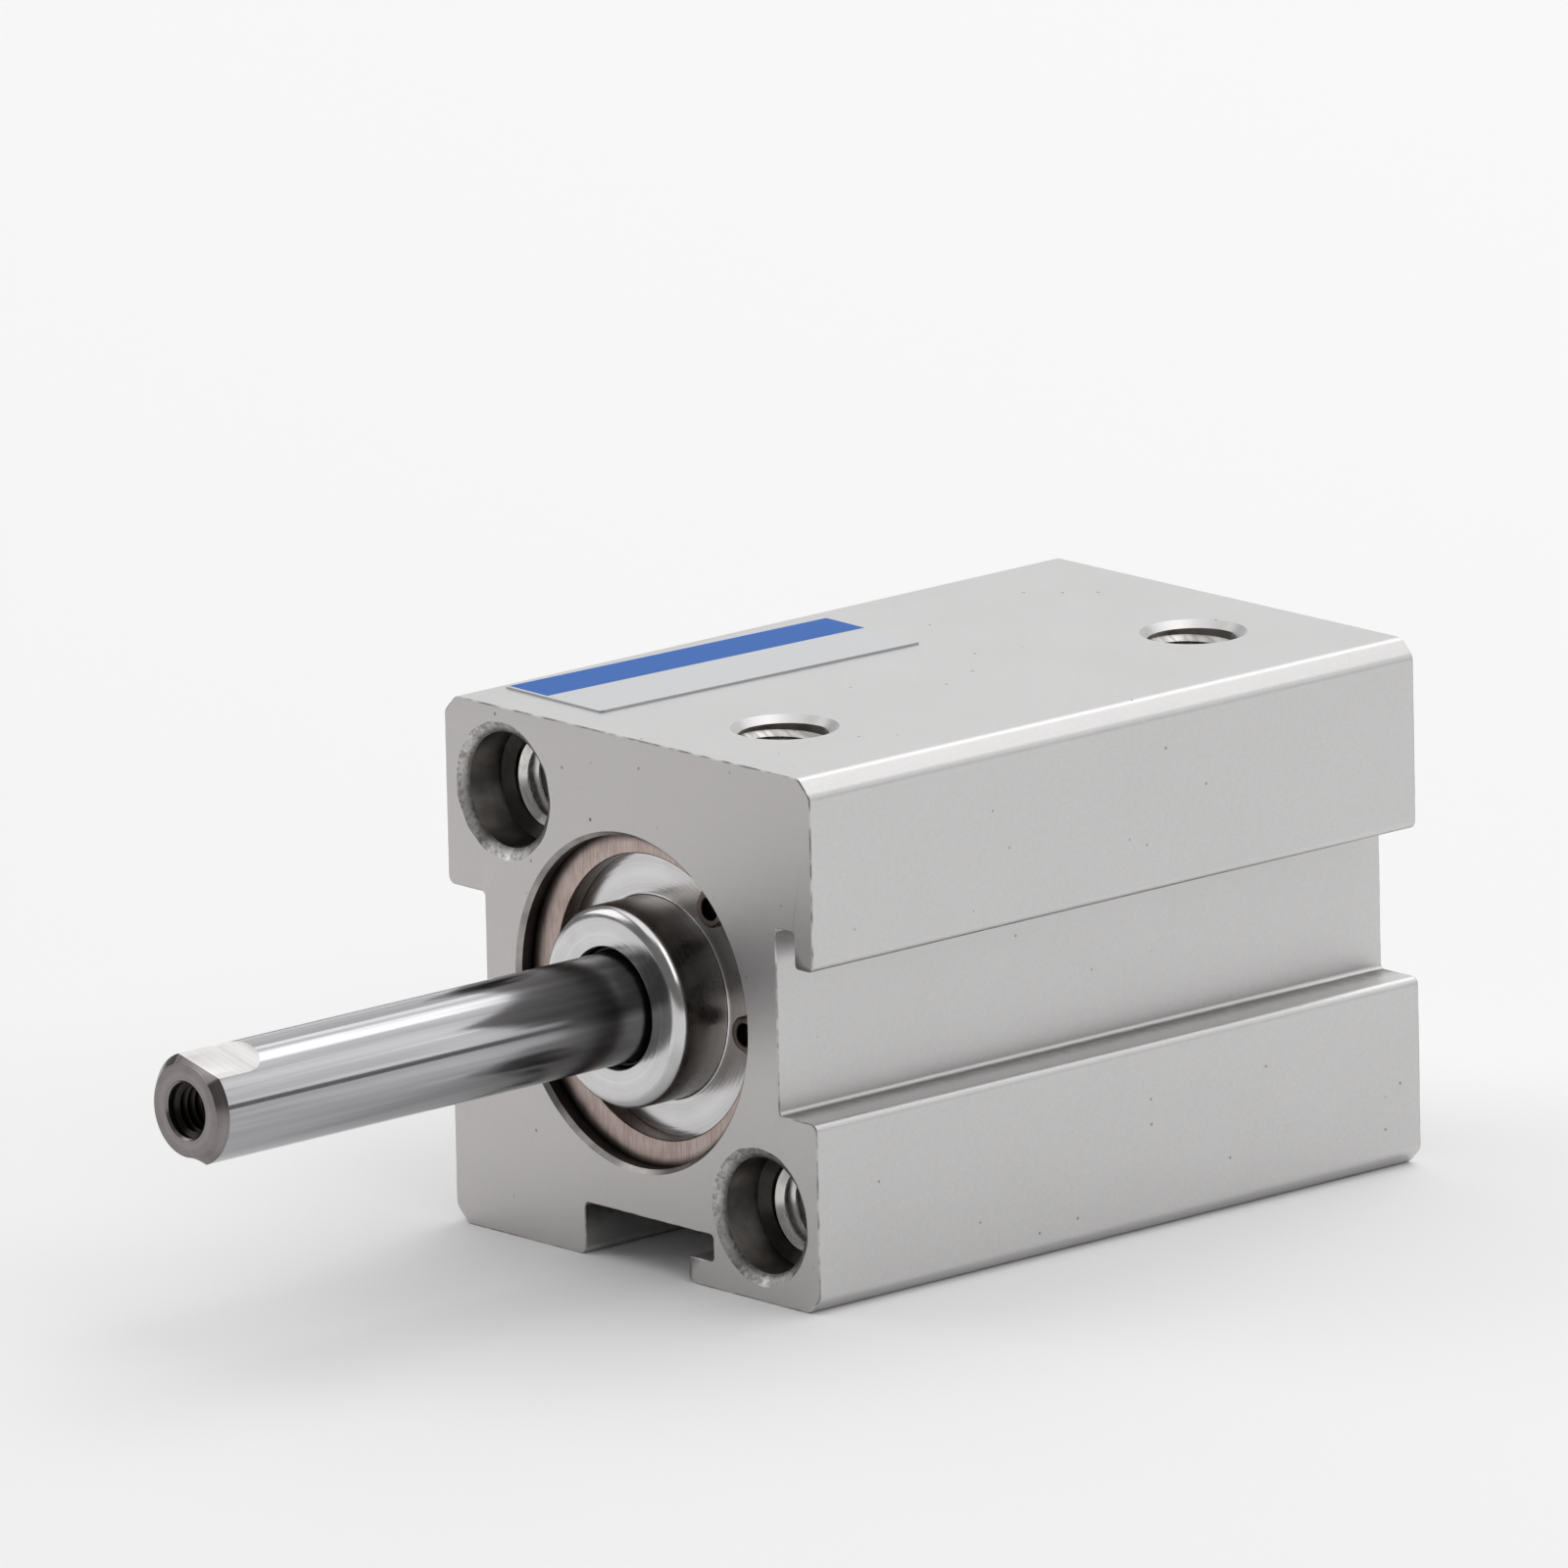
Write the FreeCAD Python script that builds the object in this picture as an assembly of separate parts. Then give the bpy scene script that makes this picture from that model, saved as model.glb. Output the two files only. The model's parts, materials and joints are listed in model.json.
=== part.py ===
import FreeCAD, Part
import math
import os

# Compact double-acting air cylinder, drawn with its rod fully out. All sizes are in millimetres.
# X is the rod axis and points out through the front face at x = 0. Z is up, through the ported face.

# Bore, travel and clearances
bore_r = 8.0
stroke = 25.0
seat_clearance = 0.03
running_clearance = 0.03
seal_clearance = 0.05
stop_clearance = 0.1
rod_land_clearance = 0.2

# Front seat of the barrel and the retaining ring that closes it
seat_step = 1.0
mouth_chamfer = 0.25
ring_recess = 1.0
ring_thickness = 1.0
ring_groove_depth = 0.5
ring_groove_play = 0.1
ring_width = 1.75
ring_eccentricity = 0.75
ring_gap_angle = 22.0
ring_gap_half_angle = 18.5
ring_lug_half_angle = 26.0
ring_lug_r = 1.0
ring_lug_hole_r = 0.6
ring_lug_inset = 1.62

# Front cover
front_flange_thickness = 3.8
front_spigot_length = 1.2
boss_proud = 1.5
boss_wall = 0.9
boss_rim_round = 0.7
boss_opening_gap = 0.3
boss_lip_length = 1.7
packing_groove_length = 2.6
packing_height = 1.6
packing_lip_height = 0.18
packing_lip_reach = 1.1
packing_lip_length = 0.6
bush_wall = 1.0
bush_length = 3.5
bush_edge_bevel = 0.15

# Rear cover and the barrel rim rolled over it
rear_spigot_length = 2.0
rear_flange_thickness = 1.3
rear_rim_thickness = 0.7
rear_rim_overlap = 0.8
rear_rim_chamfer = 0.4
rear_recess_r = 4.0
rear_recess_depth = 0.5

# Squeezed O-rings: groove of the cover seals, and the bevel as a share of an O-ring's height
cover_seal_width = 1.3
cover_seal_depth = 0.9
o_ring_bevel_share = 0.3

# Barrel section: square extrusion with three undercut sensor grooves
mount_edge = 4.6
corner_chamfer = 0.9
corner_edge_round = 0.6
groove_depth = 2.9
groove_width = 8.2
groove_lip = 1.45
groove_undercut = 2.0
groove_edge_round = 0.45
groove_inner_round = 0.25

# Two mounting holes on a diagonal, sunk and tapped from both ends
mount_wall = 1.6
mount_sink_r = 3.15
mount_sink_depth = 2.65
mount_mouth_widening = 0.6
mount_mouth_depth = 0.45
mount_thread_r = 2.5
mount_thread_end = 12.0
mount_through_r = 2.1

# Air ports in the upper face
port_r = 2.5
port_depth = 4.5
port_chamfer = 0.4
port_offset_y = 4.5
front_port_setback = 0.3
rear_port_setback = 2.75
passage_r = 0.75

# Piston and what it carries
piston_clearance = 0.2
piston_front_land = 1.0
piston_seal_length = 1.7
piston_middle_land = 0.5
wear_ring_length = 1.1
piston_rear_land = 0.6
piston_edge_chamfer = 0.25
piston_seal_depth = 1.5
piston_seal_relief = 0.3
wear_ring_depth = 0.9
wear_ring_gap = 0.6
wear_ring_bevel = 0.1
rod_o_ring_length = 1.2
rod_o_ring_depth = 0.8
bumper_thickness = 1.2
bumper_margin = 2.0
bumper_edge_bevel = 0.25

# Rod
rod_r = 3.0
rod_shoulder = 1.0
rod_end_out = 4.6
rod_end_chamfer = 0.5
rod_flat_depth = 0.5
rod_flat_length = 4.0
rod_flat_turn = -14.0
rod_thread_r = 1.5
rod_thread_depth = 6.0
rod_thread_chamfer = 0.1
rod_rivet_lip = 0.5
rod_rivet_height = 0.6

# Label on the upper face, set a little askew
label_length = 22.2
label_width = 8.1
label_thickness = 0.1
label_corner_r = 0.3
label_front_gap = 3.0
label_side_gap = 1.45
label_turn = -2.1

# Drill points and cut overshoot
drill_point_half_angle = 59.0
overshoot = 1.0

# Radii that follow from the sizes above
seat_r = bore_r + seat_step
ring_groove_r = seat_r + ring_groove_depth
mouth_r = seat_r + mouth_chamfer
mount_circle_r = mouth_r + mount_wall + mount_sink_r
mount_offset = mount_circle_r / math.sqrt(2.0)
half_side = mount_offset + mount_edge
groove_floor = half_side - groove_depth
bush_r = rod_r + running_clearance + bush_wall
packing_r = rod_r + packing_height
boss_r = packing_r + boss_wall
boss_opening_r = rod_r + boss_opening_gap
piston_r = bore_r - piston_clearance
spigot_r = rod_r - rod_shoulder
bumper_r = bore_r - bumper_margin
rivet_r = spigot_r + rod_rivet_lip

# Places along the rod axis that follow from the sizes above
ring_front_x = -ring_recess
disc_face_x = ring_front_x - ring_thickness
front_seat_x = disc_face_x - front_flange_thickness
chamber_front_x = front_seat_x - front_spigot_length
piston_length = (piston_front_land + piston_seal_length + piston_middle_land
                 + wear_ring_length + piston_rear_land)
front_bumper_x = chamber_front_x - stop_clearance
piston_front_x = front_bumper_x - bumper_thickness
piston_rear_x = piston_front_x - piston_length
rear_bumper_x = piston_rear_x - bumper_thickness
chamber_rear_x = rear_bumper_x - stop_clearance - stroke
rear_seat_x = chamber_rear_x - rear_spigot_length
rear_rim_x = rear_seat_x - rear_flange_thickness
body_length = -rear_rim_x + rear_rim_thickness
packing_front_x = boss_proud - boss_lip_length
packing_rear_x = packing_front_x - packing_groove_length
piston_seal_front_x = piston_front_x - piston_front_land
piston_seal_rear_x = piston_seal_front_x - piston_seal_length
wear_ring_front_x = piston_seal_rear_x - piston_middle_land
wear_ring_rear_x = wear_ring_front_x - wear_ring_length
rod_tip_x = boss_proud + rod_end_out + stroke
front_port_x = chamber_front_x - front_port_setback
rear_port_x = chamber_rear_x + rear_port_setback


def rounded_wire(corners):
    """Closed wire through corners given as (point, radius). A radius of 0 keeps the corner sharp."""
    count = len(corners)
    arcs = []
    for index, (point, radius) in enumerate(corners):
        if radius == 0:
            arcs.append((point, point, None))
            continue
        to_last = (corners[index - 1][0] - point).normalize()
        to_next = (corners[(index + 1) % count][0] - point).normalize()
        half_angle = to_last.getAngle(to_next) / 2.0
        setback = radius / math.tan(half_angle)
        inward = (to_last + to_next).normalize()
        middle = point + inward * (radius / math.sin(half_angle) - radius)
        arcs.append((point + to_last * setback, point + to_next * setback, middle))
    edges = []
    for index, (start, end, middle) in enumerate(arcs):
        if middle is not None:
            edges.append(Part.Arc(start, middle, end).toShape())
        next_start = arcs[(index + 1) % count][0]
        edges.append(Part.LineSegment(end, next_start).toShape())
    return Part.Wire(edges)


def turned(*corners):
    """Solid of revolution about the X axis. Corners are (x, radius) or (x, radius, rounding)."""
    points = []
    for x, radius, *rounding in corners:
        points.append((FreeCAD.Vector(x, radius, 0.0), rounding[0] if rounding else 0))
    face = Part.Face(rounded_wire(points))
    return face.revolve(FreeCAD.Vector(0, 0, 0), FreeCAD.Vector(1, 0, 0), 360)


def collar(x_rear, x_front, r_in, r_out, bevel):
    """Plain ring about the X axis with equal bevels on its four edges."""
    return turned(
        (x_rear + bevel, r_in),
        (x_front - bevel, r_in),
        (x_front, r_in + bevel),
        (x_front, r_out - bevel),
        (x_front - bevel, r_out),
        (x_rear + bevel, r_out),
        (x_rear, r_out - bevel),
        (x_rear, r_in + bevel),
    )


def drill_point_length(radius):
    return radius / math.tan(math.radians(drill_point_half_angle))


def barrel_side(grooved):
    """Corners of one side of the barrel section, run clockwise, as (along, outward, rounding)."""
    half_groove = groove_width / 2.0
    lip_inside = half_side - groove_lip
    start = [(corner_chamfer - half_side, half_side, corner_edge_round)]
    end = [(half_side - corner_chamfer, half_side, corner_edge_round)]
    if not grooved:
        return start + end
    groove = [
        (-half_groove, half_side, groove_edge_round),
        (-half_groove, lip_inside, groove_inner_round),
        (-half_groove - groove_undercut, lip_inside, groove_inner_round),
        (-half_groove - groove_undercut, groove_floor, groove_inner_round),
        (half_groove, groove_floor, groove_inner_round),
        (half_groove, half_side, groove_edge_round),
    ]
    return start + groove + end


def barrel_section():
    """Upper side plain, then right, lower and left sides grooved, as seen from the front."""
    corners = []
    for quarter_turns in range(4):
        angle = math.radians(-90.0 * quarter_turns)
        for along, outward, rounding in barrel_side(grooved=quarter_turns > 0):
            y = along * math.cos(angle) - outward * math.sin(angle)
            z = along * math.sin(angle) + outward * math.cos(angle)
            corners.append((FreeCAD.Vector(0, y, z), rounding))
    return Part.Face(rounded_wire(corners))


def bore_space():
    """The stepped hole through the barrel: mouth, ring groove, seats, bore and rolled rear rim."""
    groove_front_x = ring_front_x + ring_groove_play / 2.0
    groove_rear_x = disc_face_x - ring_groove_play / 2.0
    rim_r = seat_r - rear_rim_overlap
    past_front = overshoot
    past_rear = -body_length - overshoot
    return turned(
        (past_front, 0),
        (past_front, mouth_r + overshoot),
        (-mouth_chamfer, seat_r),
        (groove_front_x, seat_r),
        (groove_front_x, ring_groove_r),
        (groove_rear_x, ring_groove_r),
        (groove_rear_x, seat_r),
        (front_seat_x, seat_r),
        (front_seat_x, bore_r),
        (rear_seat_x, bore_r),
        (rear_seat_x, seat_r),
        (rear_rim_x, seat_r),
        (rear_rim_x, rim_r),
        (rear_rim_chamfer - body_length, rim_r),
        (past_rear, rim_r + rear_rim_chamfer + overshoot),
        (past_rear, 0),
    )


def mount_hole_space():
    """One mounting hole about the X axis: sunk and tapped from both ends, drilled right through."""
    widening_past_face = mount_mouth_widening * overshoot / mount_mouth_depth
    cone_depth = drill_point_length(mount_sink_r - mount_thread_r)
    front_half = [
        (overshoot, mount_sink_r + mount_mouth_widening + widening_past_face),
        (-mount_mouth_depth, mount_sink_r),
        (-mount_sink_depth, mount_sink_r),
        (-mount_sink_depth - cone_depth, mount_thread_r),
        (-mount_thread_end, mount_thread_r),
        (-mount_thread_end - mount_thread_r + mount_through_r, mount_through_r),
    ]
    rear_half = [(-body_length - x, radius) for x, radius in reversed(front_half)]
    return turned((overshoot, 0), *front_half, *rear_half, (-body_length - overshoot, 0))


def port_space(port_x, passage_x):
    """One threaded port sunk from the upper face, with the small passage from its foot to the bore."""
    foot = half_side - port_depth
    port = turned(
        (half_side + overshoot, 0),
        (half_side + overshoot, port_r + port_chamfer + overshoot),
        (half_side - port_chamfer, port_r),
        (foot, port_r),
        (foot - drill_point_length(port_r), 0),
    )
    port.rotate(FreeCAD.Vector(0, 0, 0), FreeCAD.Vector(0, 1, 0), -90)
    port.translate(FreeCAD.Vector(port_x, port_offset_y, 0))
    passage_foot = FreeCAD.Vector(passage_x, port_offset_y, bore_r / 2.0)
    passage = Part.makeCylinder(passage_r, foot - bore_r / 2.0, passage_foot, FreeCAD.Vector(0, 0, 1))
    return port.fuse(passage)


def barrel():
    block = barrel_section().extrude(FreeCAD.Vector(-body_length, 0, 0))
    spaces = [bore_space()]
    for side in (-1, 1):
        hole = mount_hole_space()
        hole.translate(FreeCAD.Vector(0, side * mount_offset, -side * mount_offset))
        spaces.append(hole)
    spaces.append(port_space(front_port_x, chamber_front_x - passage_r))
    spaces.append(port_space(rear_port_x, chamber_rear_x + passage_r))
    return block.cut(spaces).removeSplitter()


def cover_seal(x_middle, seat_radius):
    """Static O-ring, squeezed into its groove under the given seat radius."""
    r_out = seat_radius - seat_clearance
    r_in = r_out - cover_seal_depth + seat_clearance
    half_width = cover_seal_width / 2.0 - seal_clearance
    bevel = o_ring_bevel_share * (r_out - r_in)
    return collar(x_middle - half_width, x_middle + half_width, r_in, r_out, bevel)


front_seal_x = (disc_face_x + front_seat_x) / 2.0
rear_seal_x = (chamber_rear_x + rear_seat_x) / 2.0


def front_cover():
    flange_r = seat_r - seat_clearance
    front_spigot_r = bore_r - seat_clearance
    seal_floor_r = flange_r - cover_seal_depth
    bush_seat_r = bush_r + seat_clearance
    bush_front_x = chamber_front_x + bush_length
    land_r = rod_r + rod_land_clearance
    return turned(
        (chamber_front_x, bush_seat_r),
        (chamber_front_x, front_spigot_r),
        (front_seat_x, front_spigot_r),
        (front_seat_x, flange_r),
        (front_seal_x - cover_seal_width / 2.0, flange_r),
        (front_seal_x - cover_seal_width / 2.0, seal_floor_r),
        (front_seal_x + cover_seal_width / 2.0, seal_floor_r),
        (front_seal_x + cover_seal_width / 2.0, flange_r),
        (disc_face_x, flange_r),
        (disc_face_x, boss_r),
        (boss_proud, boss_r, boss_rim_round),
        (boss_proud, boss_opening_r),
        (packing_front_x, boss_opening_r),
        (packing_front_x, packing_r),
        (packing_rear_x, packing_r),
        (packing_rear_x, land_r),
        (bush_front_x, land_r),
        (bush_front_x, bush_seat_r),
    )


def rod_packing():
    """Lip seal in the boss: a ring with a sealing lip behind and a wiper lip that shows in front."""
    r_out = packing_r - seat_clearance
    lip_r = rod_r + seal_clearance
    root_r = lip_r + packing_lip_height
    x_front = packing_front_x - seal_clearance
    x_rear = packing_rear_x + seal_clearance
    wiper_x = packing_front_x + packing_lip_reach
    return turned(
        (x_rear, r_out),
        (x_front, r_out),
        (x_front, root_r),
        (wiper_x, root_r),
        (wiper_x, lip_r),
        (x_front - packing_lip_length, root_r),
        (x_rear + packing_lip_length, root_r),
        (x_rear, lip_r),
    )


def rod_bush():
    r_in = rod_r + running_clearance
    return collar(chamber_front_x, chamber_front_x + bush_length, r_in, bush_r, bush_edge_bevel)


def front_retaining_ring():
    """Spring ring, widest opposite its gap, with a pierced lug on each side of the gap."""
    along_x = FreeCAD.Vector(1, 0, 0)
    r_out = ring_groove_r - seat_clearance

    def disc(radius, distance, angle, height=ring_thickness, start_x=disc_face_x):
        turn = math.radians(angle)
        centre = FreeCAD.Vector(start_x, distance * math.cos(turn), distance * math.sin(turn))
        return Part.makeCylinder(radius, height, centre, along_x)

    outside = disc(r_out, 0, 0)
    inside = disc(r_out - ring_width, ring_eccentricity, ring_gap_angle)
    lug_angles = [ring_gap_angle - ring_lug_half_angle, ring_gap_angle + ring_lug_half_angle]
    lug_distance = r_out - ring_lug_inset
    lugs = [disc(ring_lug_r, lug_distance, angle).common(outside) for angle in lug_angles]
    holes = [disc(ring_lug_hole_r, lug_distance, angle) for angle in lug_angles]
    gap_corners = [FreeCAD.Vector(disc_face_x, 0, 0)]
    for side in (-1, 1):
        turn = math.radians(ring_gap_angle + side * ring_gap_half_angle)
        reach = 2.0 * r_out
        gap_corners.append(FreeCAD.Vector(disc_face_x, reach * math.cos(turn), reach * math.sin(turn)))
    gap_wire = Part.makePolygon(gap_corners + gap_corners[:1])
    gap = Part.Face(gap_wire).extrude(along_x * ring_thickness)
    return outside.cut(inside).fuse(lugs).cut(holes + [gap]).removeSplitter()


def rear_cover():
    flange_r = seat_r - seat_clearance
    rear_spigot_r = bore_r - seat_clearance
    seal_floor_r = rear_spigot_r - cover_seal_depth
    recess_x = rear_rim_x + rear_recess_depth
    return turned(
        (chamber_rear_x, 0),
        (chamber_rear_x, rear_spigot_r),
        (rear_seal_x + cover_seal_width / 2.0, rear_spigot_r),
        (rear_seal_x + cover_seal_width / 2.0, seal_floor_r),
        (rear_seal_x - cover_seal_width / 2.0, seal_floor_r),
        (rear_seal_x - cover_seal_width / 2.0, rear_spigot_r),
        (rear_seat_x, rear_spigot_r),
        (rear_seat_x, flange_r),
        (rear_rim_x, flange_r),
        (rear_rim_x, rear_recess_r + rear_recess_depth),
        (recess_x, rear_recess_r),
        (recess_x, 0),
    )


def piston():
    bore = spigot_r + seat_clearance
    o_ring_front_x = (piston_front_x + piston_rear_x + rod_o_ring_length) / 2.0
    o_ring_rear_x = o_ring_front_x - rod_o_ring_length
    seal_floor_r = piston_r - piston_seal_depth
    wear_floor_r = piston_r - wear_ring_depth
    return turned(
        (piston_rear_x, bore),
        (piston_rear_x, piston_r - piston_edge_chamfer),
        (piston_rear_x + piston_edge_chamfer, piston_r),
        (wear_ring_rear_x, piston_r),
        (wear_ring_rear_x, wear_floor_r),
        (wear_ring_front_x, wear_floor_r),
        (wear_ring_front_x, piston_r),
        (piston_seal_rear_x, piston_r),
        (piston_seal_rear_x, seal_floor_r),
        (piston_seal_front_x, seal_floor_r),
        (piston_seal_front_x, piston_r),
        (piston_front_x - piston_edge_chamfer, piston_r),
        (piston_front_x, piston_r - piston_edge_chamfer),
        (piston_front_x, bore),
        (o_ring_front_x, bore),
        (o_ring_front_x, spigot_r + rod_o_ring_depth),
        (o_ring_rear_x, spigot_r + rod_o_ring_depth),
        (o_ring_rear_x, bore),
    )


def piston_o_ring():
    x_middle = (piston_front_x + piston_rear_x) / 2.0
    half_width = rod_o_ring_length / 2.0 - seal_clearance
    r_in = spigot_r + seat_clearance
    r_out = spigot_r + rod_o_ring_depth - seat_clearance
    bevel = o_ring_bevel_share * (r_out - r_in)
    return collar(x_middle - half_width, x_middle + half_width, r_in, r_out, bevel)


def piston_seal():
    """Two-way seal: a ring with two lips on the bore and a shallow relief between them."""
    x_front = piston_seal_front_x - seal_clearance
    x_rear = piston_seal_rear_x + seal_clearance
    x_middle = (x_front + x_rear) / 2.0
    r_in = piston_r - piston_seal_depth + seal_clearance
    r_lip = bore_r - seal_clearance
    return turned(
        (x_rear, r_in),
        (x_front, r_in),
        (x_front, r_lip - piston_seal_relief),
        (x_front - piston_seal_relief, r_lip),
        (x_middle, r_lip - piston_seal_relief),
        (x_rear + piston_seal_relief, r_lip),
        (x_rear, r_lip - piston_seal_relief),
    )


def wear_ring():
    """Guide band, slit so that it can be sprung over the piston."""
    x_rear = wear_ring_rear_x + seal_clearance
    x_front = wear_ring_front_x - seal_clearance
    r_in = piston_r - wear_ring_depth + seal_clearance
    band = collar(x_rear, x_front, r_in, bore_r - running_clearance, wear_ring_bevel)
    slit_corner = FreeCAD.Vector(x_rear - overshoot, -wear_ring_gap / 2.0, -bore_r - overshoot)
    slit_length = x_front - x_rear + 2.0 * overshoot
    return band.cut(Part.makeBox(slit_length, wear_ring_gap, bore_r + overshoot, slit_corner))


def front_bumper():
    r_in = rod_r + seat_clearance
    return collar(piston_front_x, front_bumper_x, r_in, bumper_r, bumper_edge_bevel)


def rear_bumper():
    r_in = rivet_r + seat_clearance
    return collar(rear_bumper_x, piston_rear_x, r_in, bumper_r, bumper_edge_bevel)


def piston_rod():
    """Hard-chromed rod: riveted tail through the piston, two wrench flats and a tapped end."""
    thread_foot_x = rod_tip_x - rod_thread_depth
    rod = turned(
        (piston_rear_x - rod_rivet_height, 0),
        (piston_rear_x - rod_rivet_height, spigot_r),
        (piston_rear_x, rivet_r),
        (piston_rear_x, spigot_r),
        (piston_front_x, spigot_r),
        (piston_front_x, rod_r),
        (rod_tip_x - rod_end_chamfer, rod_r),
        (rod_tip_x, rod_r - rod_end_chamfer),
        (rod_tip_x, rod_thread_r + rod_thread_chamfer),
        (rod_tip_x - rod_thread_chamfer, rod_thread_r),
        (thread_foot_x, rod_thread_r),
        (thread_foot_x - drill_point_length(rod_thread_r), 0),
    )
    flats = []
    for side in (0, 180):
        corner = FreeCAD.Vector(rod_tip_x - rod_flat_length, -rod_r, rod_r - rod_flat_depth)
        flat = Part.makeBox(rod_flat_length + overshoot, 2.0 * rod_r, rod_r, corner)
        flat.rotate(FreeCAD.Vector(0, 0, 0), FreeCAD.Vector(1, 0, 0), rod_flat_turn + side)
        flats.append(flat)
    return rod.cut(flats)


def label():
    """Thin film label stuck flat on the upper face, beside the front port."""
    outline = []
    for x, y in ((0, 0), (-label_length, 0), (-label_length, label_width), (0, label_width)):
        outline.append((FreeCAD.Vector(x, y, 0), label_corner_r))
    film = Part.Face(rounded_wire(outline)).extrude(FreeCAD.Vector(0, 0, label_thickness))
    film.rotate(FreeCAD.Vector(0, 0, 0), FreeCAD.Vector(0, 0, 1), label_turn)
    film.translate(FreeCAD.Vector(-label_front_gap, label_side_gap - half_side, half_side))
    return film


pieces = {
    "barrel": barrel(),
    "front_cover": front_cover(),
    "front_cover_o_ring": cover_seal(front_seal_x, seat_r),
    "rod_packing": rod_packing(),
    "rod_bush": rod_bush(),
    "front_retaining_ring": front_retaining_ring(),
    "rear_cover": rear_cover(),
    "rear_cover_o_ring": cover_seal(rear_seal_x, bore_r),
    "label": label(),
    "piston_rod": piston_rod(),
    "piston": piston(),
    "piston_o_ring": piston_o_ring(),
    "piston_seal": piston_seal(),
    "wear_ring": wear_ring(),
    "front_bumper": front_bumper(),
    "rear_bumper": rear_bumper(),
}

os.makedirs("parts", exist_ok=True)
for node, shape in pieces.items():
    shape.exportStep(f"parts/{node}.step")
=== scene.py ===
import bmesh
import bpy
import json
from math import acos, cos, pi, radians, sin, sqrt, tan
from mathutils import Matrix, Vector, noise


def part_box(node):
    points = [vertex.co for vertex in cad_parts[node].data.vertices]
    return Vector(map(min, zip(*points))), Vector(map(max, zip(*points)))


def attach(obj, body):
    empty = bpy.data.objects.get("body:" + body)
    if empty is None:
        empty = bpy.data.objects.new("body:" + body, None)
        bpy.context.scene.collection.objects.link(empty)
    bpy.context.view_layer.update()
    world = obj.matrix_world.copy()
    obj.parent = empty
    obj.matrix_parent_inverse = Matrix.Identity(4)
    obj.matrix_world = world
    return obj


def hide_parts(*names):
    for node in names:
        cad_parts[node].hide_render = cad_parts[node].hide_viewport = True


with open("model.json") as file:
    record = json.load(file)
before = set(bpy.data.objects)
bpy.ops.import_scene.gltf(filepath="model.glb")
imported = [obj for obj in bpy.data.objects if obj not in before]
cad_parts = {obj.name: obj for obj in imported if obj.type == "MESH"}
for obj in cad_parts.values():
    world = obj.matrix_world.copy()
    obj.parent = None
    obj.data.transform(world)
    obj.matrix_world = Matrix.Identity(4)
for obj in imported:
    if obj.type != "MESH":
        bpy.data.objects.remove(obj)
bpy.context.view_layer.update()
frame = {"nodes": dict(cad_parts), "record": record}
mounts = {mount["name"]: mount for mount in frame["record"]["mounts"]}

# Barrel: a square aluminium extrusion with three undercut sensor grooves, cut to length.
# It is blasted and anodised to a satin silver; its bore, ports and mounting holes are machined and oiled. The
# bore's walls, and the cones and threaded walls deep in the mounting holes, are painted near black as shade.
MM = 0.001
barrel_low, barrel_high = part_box("barrel")
half_side = barrel_high.y
body_end = barrel_low.x
corner_chamfer = 0.9 * MM
corner_edge_round = 0.6 * MM
groove_floor = half_side - 2.9 * MM
groove_half = 4.1 * MM
groove_lip = half_side - 1.45 * MM
groove_undercut = groove_half + 2.0 * MM
groove_edge_round = 0.45 * MM
groove_inner_round = 0.25 * MM
cut_edge_round = 0.09 * MM
groove_shade_margin = 0.01 * MM
weld_distance = 0.00002 * MM
edge_steps = 4
arc_steps = 5

bore_count = 160
bore_r = 8.0 * MM
seat_r = 9.0 * MM
mouth_chamfer = 0.25 * MM
ring_groove_r = 9.5 * MM
ring_groove_front = -0.95 * MM
ring_groove_rear = -2.05 * MM
front_seat = -5.8 * MM
rear_seat = -41.5 * MM
rear_rim = -42.8 * MM
rear_rim_r = 8.2 * MM
rear_rim_chamfer = 0.4 * MM

hole_count = 112
sink_r = mounts["front_mount_holes"]["dims"]["hole_r_mm"] * MM
sink_depth = 2.65 * MM
mouth_widening = 0.6 * MM
mouth_depth = 0.45 * MM
hole_offset = mounts["front_mount_holes"]["dims"]["pcd_mm"] * MM / 2 / sqrt(2)
thread_r = mounts["front_upper_mount_thread"]["dims"]["r_mm"] * MM
mount_thread_length = mounts["front_upper_mount_thread"]["dims"]["length_mm"] * MM
through_r = 2.1 * MM
drill_point = radians(59)
thread_start = -sink_depth - (sink_r - thread_r) / tan(drill_point)
thread_end = thread_start - mount_thread_length
mouth_unevenness = 0.09 * MM
mouth_lobe = 0.35

port_count = 96
port_spots = [mounts[port]["pos_m"][:2] for port in ("front_port", "rear_port")]
port_r = mounts["front_port"]["dims"]["r_mm"] * MM
port_depth = 4.5 * MM
port_chamfer = 0.4 * MM
passage_r = 0.75 * MM
passage_depth = 7.4 * MM


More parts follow.
